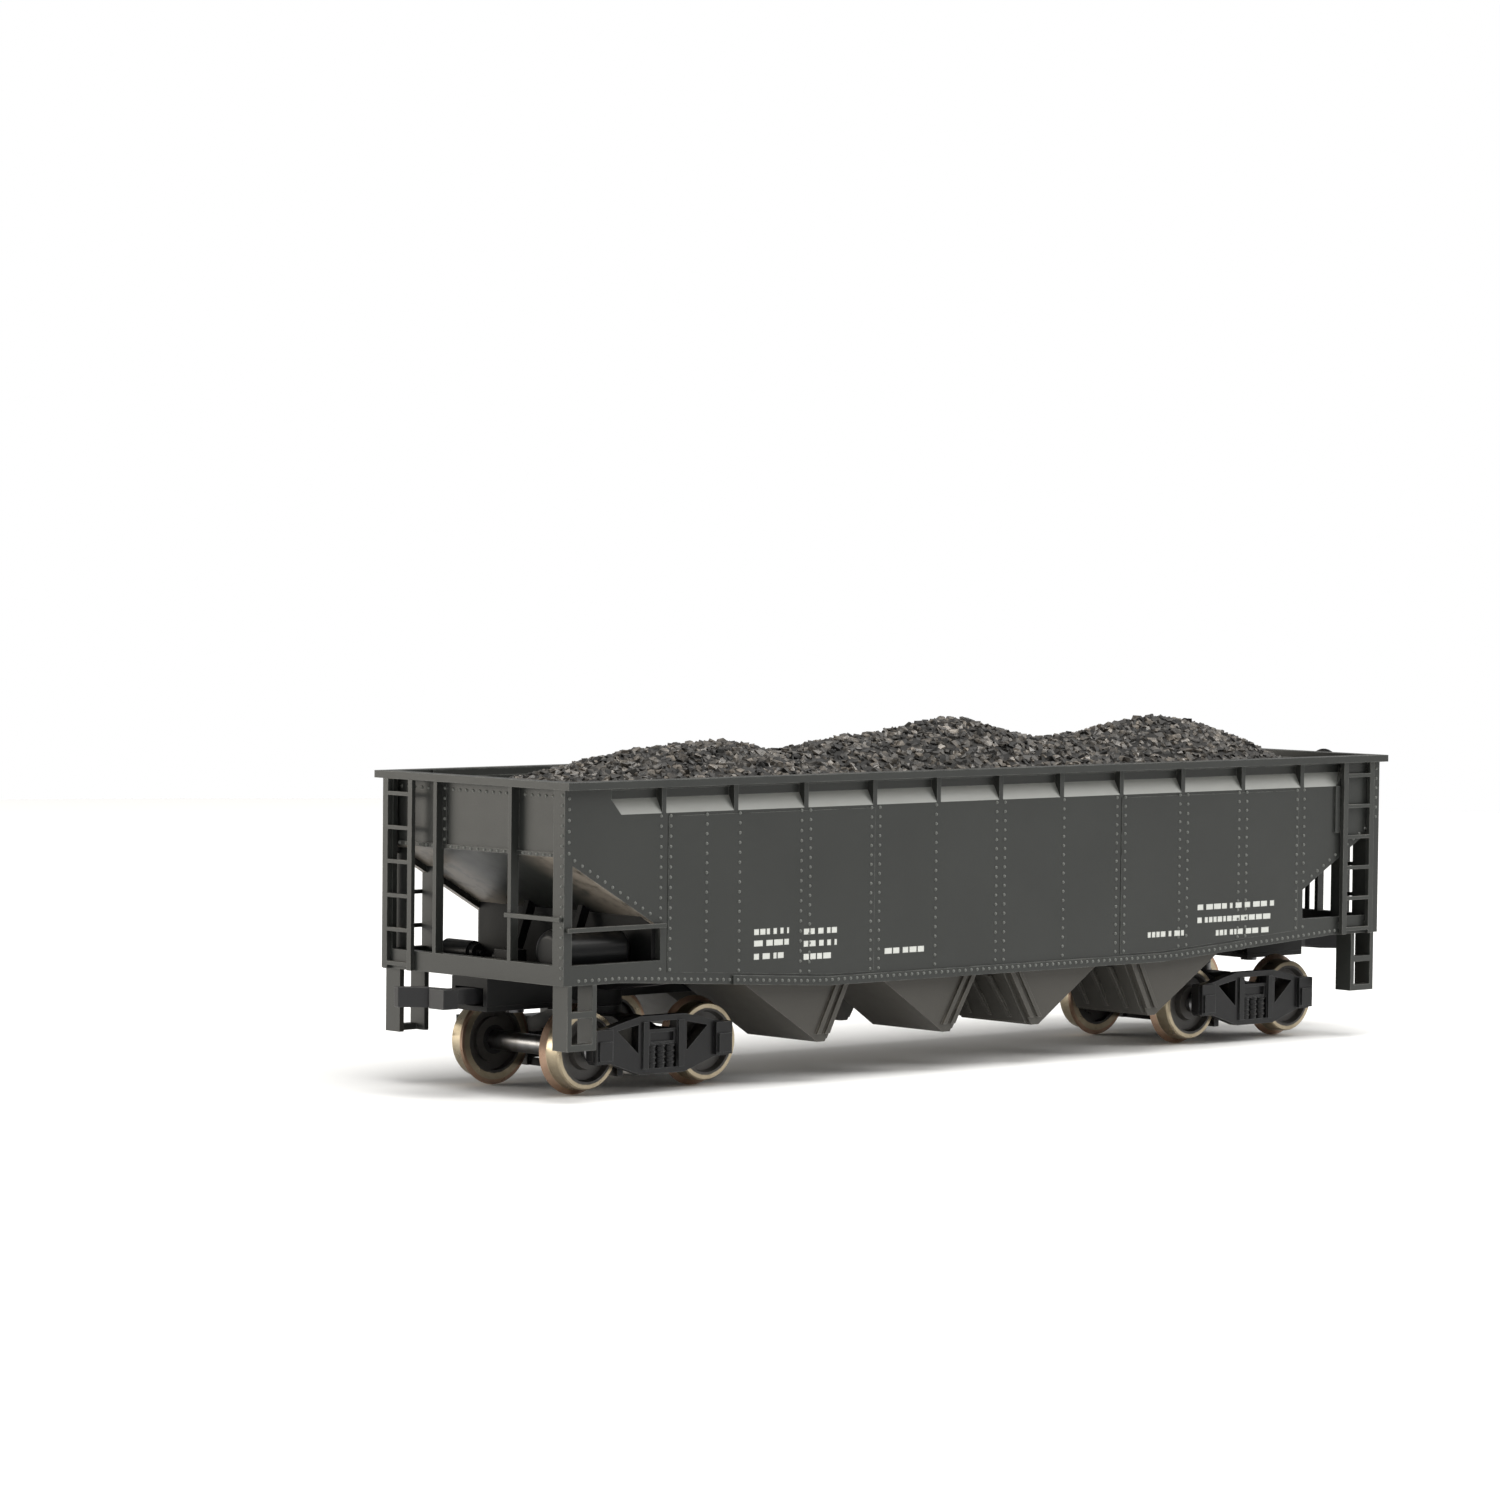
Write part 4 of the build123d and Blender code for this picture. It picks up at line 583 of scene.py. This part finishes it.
def bare_metal(name, colour, other, gloss, scale, squeeze):
    """Bare metal with its tool marks drawn out along one axis and some darker stains."""
    material = bpy.data.materials.new(name)
    material.use_nodes = True
    tree = material.node_tree
    shader = tree.nodes["Principled BSDF"]
    place = tree.nodes.new("ShaderNodeTexCoord").outputs["Object"]
    drawn = put(tree, "ShaderNodeVectorMath", {"operation": "MULTIPLY"}, _0=place, _1=squeeze).outputs[0]
    marks = noise_of(tree, drawn, scale, 3.0, 0.6)
    stain = ramp_of(tree, noise_of(tree, place, 300.0, 4.0, 0.6), 0.35, 0.7)
    tree.links.new(blend_of(tree, stain, (*colour, 1), (*other, 1)), shader.inputs["Base Color"])
    shader.inputs["Metallic"].default_value = 1.0
    rough = put(tree, "ShaderNodeMapRange", Value=marks, To_Min=gloss - 0.08, To_Max=gloss + 0.12).outputs[0]
    tree.links.new(rough, shader.inputs["Roughness"])
    bumped = put(tree, "ShaderNodeBump", Height=marks, Distance=0.000004, Strength=0.6)
    tree.links.new(bumped.outputs["Normal"], shader.inputs["Normal"])
    material.diffuse_color = (*colour, 1)
    return material


axle_steel = bare_metal("axle_steel", (0.20, 0.20, 0.205), (0.09, 0.085, 0.08), 0.32, 1500.0, (1.0, 9.0, 1.0))
screw_steel = bare_metal("screw_steel", (0.11, 0.11, 0.115), (0.05, 0.048, 0.046), 0.35, 1800.0, (1.0, 1.0, 5.0))
leaf_bronze = bare_metal("leaf_bronze", (0.60, 0.38, 0.19), (0.34, 0.20, 0.10), 0.28, 1500.0, (1.0, 0.1, 1.0))
rolled_steel = bare_metal("rolled_steel", (0.40, 0.39, 0.37), (0.20, 0.15, 0.11), 0.38, 900.0, (0.08, 1.0, 1.0))
bush_black = painted("bush_black", (0.012, 0.012, 0.012), (0.06, 0.06, 0.06), GREY_DUST_AND_LIGHT, gloss=0.3, wear=0.2)
small_finishes = {
    "axle": axle_steel, "wheel_bush": bush_black, "truck_screws": screw_steel, "lid_screws": screw_steel,
    "centring": leaf_bronze, "steel_ballast": rolled_steel,
}
for node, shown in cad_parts.items():
    for word, material in small_finishes.items():
        if node.startswith(word):
            shown.data.materials.clear()
            shown.data.materials.append(material)

# ------------------------------------------------------------------ couplers
# Black acetal couplers with a square shank, a horn and a hook, free to swing on the post in the draft box.
coupler_black = painted("coupler_black", (0.018, 0.018, 0.019), (0.11, 0.11, 0.11), (0.10, 0.09, 0.08), gloss=0.33,
                        wear=0.9, dustiness=0.3)
for end in ("a", "b"):
    softened("coupler_" + end, "moulded_coupler_" + end, "coupler_" + end, coupler_black, 0.00006)

# ------------------------------------------------------------------ floor, lights and camera
# A wide plain pale floor, soft boxes from above, from the right and from behind the far end, and a camera with a long
# lens a little above the rim. The bare studio shows white but lights the car only softly.
FLOOR_RADIUS = 0.62
turns = [math.tau * i / 64 for i in range(64)]
points = [(FLOOR_RADIUS * math.cos(turn), FLOOR_RADIUS * math.sin(turn), 0.0) for turn in turns]
floor_mesh = bpy.data.meshes.new("floor")
floor_mesh.from_pydata(points, [], [tuple(range(64))])
floor = bpy.data.objects.new("floor", floor_mesh)
bpy.context.scene.collection.objects.link(floor)
paper = bpy.data.materials.new("pale_paper")
paper.use_nodes = True
paper.node_tree.nodes["Principled BSDF"].inputs["Base Color"].default_value = (0.86, 0.86, 0.855, 1)
paper.node_tree.nodes["Principled BSDF"].inputs["Roughness"].default_value = 0.9
paper.node_tree.nodes["Principled BSDF"].inputs["Specular IOR Level"].default_value = 0.2
floor_mesh.materials.append(paper)

world = bpy.data.worlds.new("studio")
world.use_nodes = True
sky = world.node_tree
seen = sky.nodes.new("ShaderNodeLightPath").outputs["Is Camera Ray"]
sky.links.new(
    put(sky, "ShaderNodeMapRange", Value=seen, To_Min=0.42, To_Max=1.0).outputs[0],
    sky.nodes["Background"].inputs["Strength"],
)
sky.nodes["Background"].inputs["Color"].default_value = (1, 1, 1, 1)
bpy.context.scene.world = world


def soft_box(name, direction, distance, width, height, power, colour):
    light = bpy.data.lights.new(name, "AREA")
    light.shape = "RECTANGLE"
    light.size = width
    light.size_y = height
    light.energy = power
    light.color = colour
    lamp = bpy.data.objects.new(name, light)
    middle = Vector((0.0, 0.0, 0.02))
    lamp.location = middle + Vector(direction).normalized() * distance
    lamp.rotation_euler = (middle - lamp.location).to_track_quat("-Z", "Y").to_euler()
    bpy.context.scene.collection.objects.link(lamp)


soft_box("top_box", (-0.10, -0.25, 1.0), 1.1, 1.0, 0.9, 16.0, (1.0, 0.99, 0.97))
soft_box("right_box", (0.66, -0.52, 0.50), 1.1, 0.55, 0.45, 7.0, (1.0, 0.99, 0.96))
soft_box("far_end_box", (-0.68, 0.73, 0.16), 1.1, 0.7, 0.34, 6.0, (1.0, 0.94, 0.84))

lens = bpy.data.cameras.new("camera")
lens.sensor_width = 36.0
lens.lens = 130.7
lens.clip_start = 0.01
azimuth, elevation, roll = math.radians(-42.751), math.radians(2.535), math.radians(0.625)
back = Vector((math.sin(azimuth) * math.cos(elevation), -math.cos(azimuth) * math.cos(elevation), math.sin(elevation)))
level = Vector((0, 0, 1)).cross(back).normalized()
upright = back.cross(level)
right = level * math.cos(roll) + upright * math.sin(roll)
above = upright * math.cos(roll) - level * math.sin(roll)
stand = Matrix((right, above, back)).transposed().to_4x4()
stand.translation = Vector((-0.027726, 0.0, 0.040468)) + back * 0.683446
camera = bpy.data.objects.new("camera", lens)
camera.matrix_world = stand
bpy.context.scene.collection.objects.link(camera)
bpy.context.scene.camera = camera
bpy.context.scene.view_settings.view_transform = "Standard"
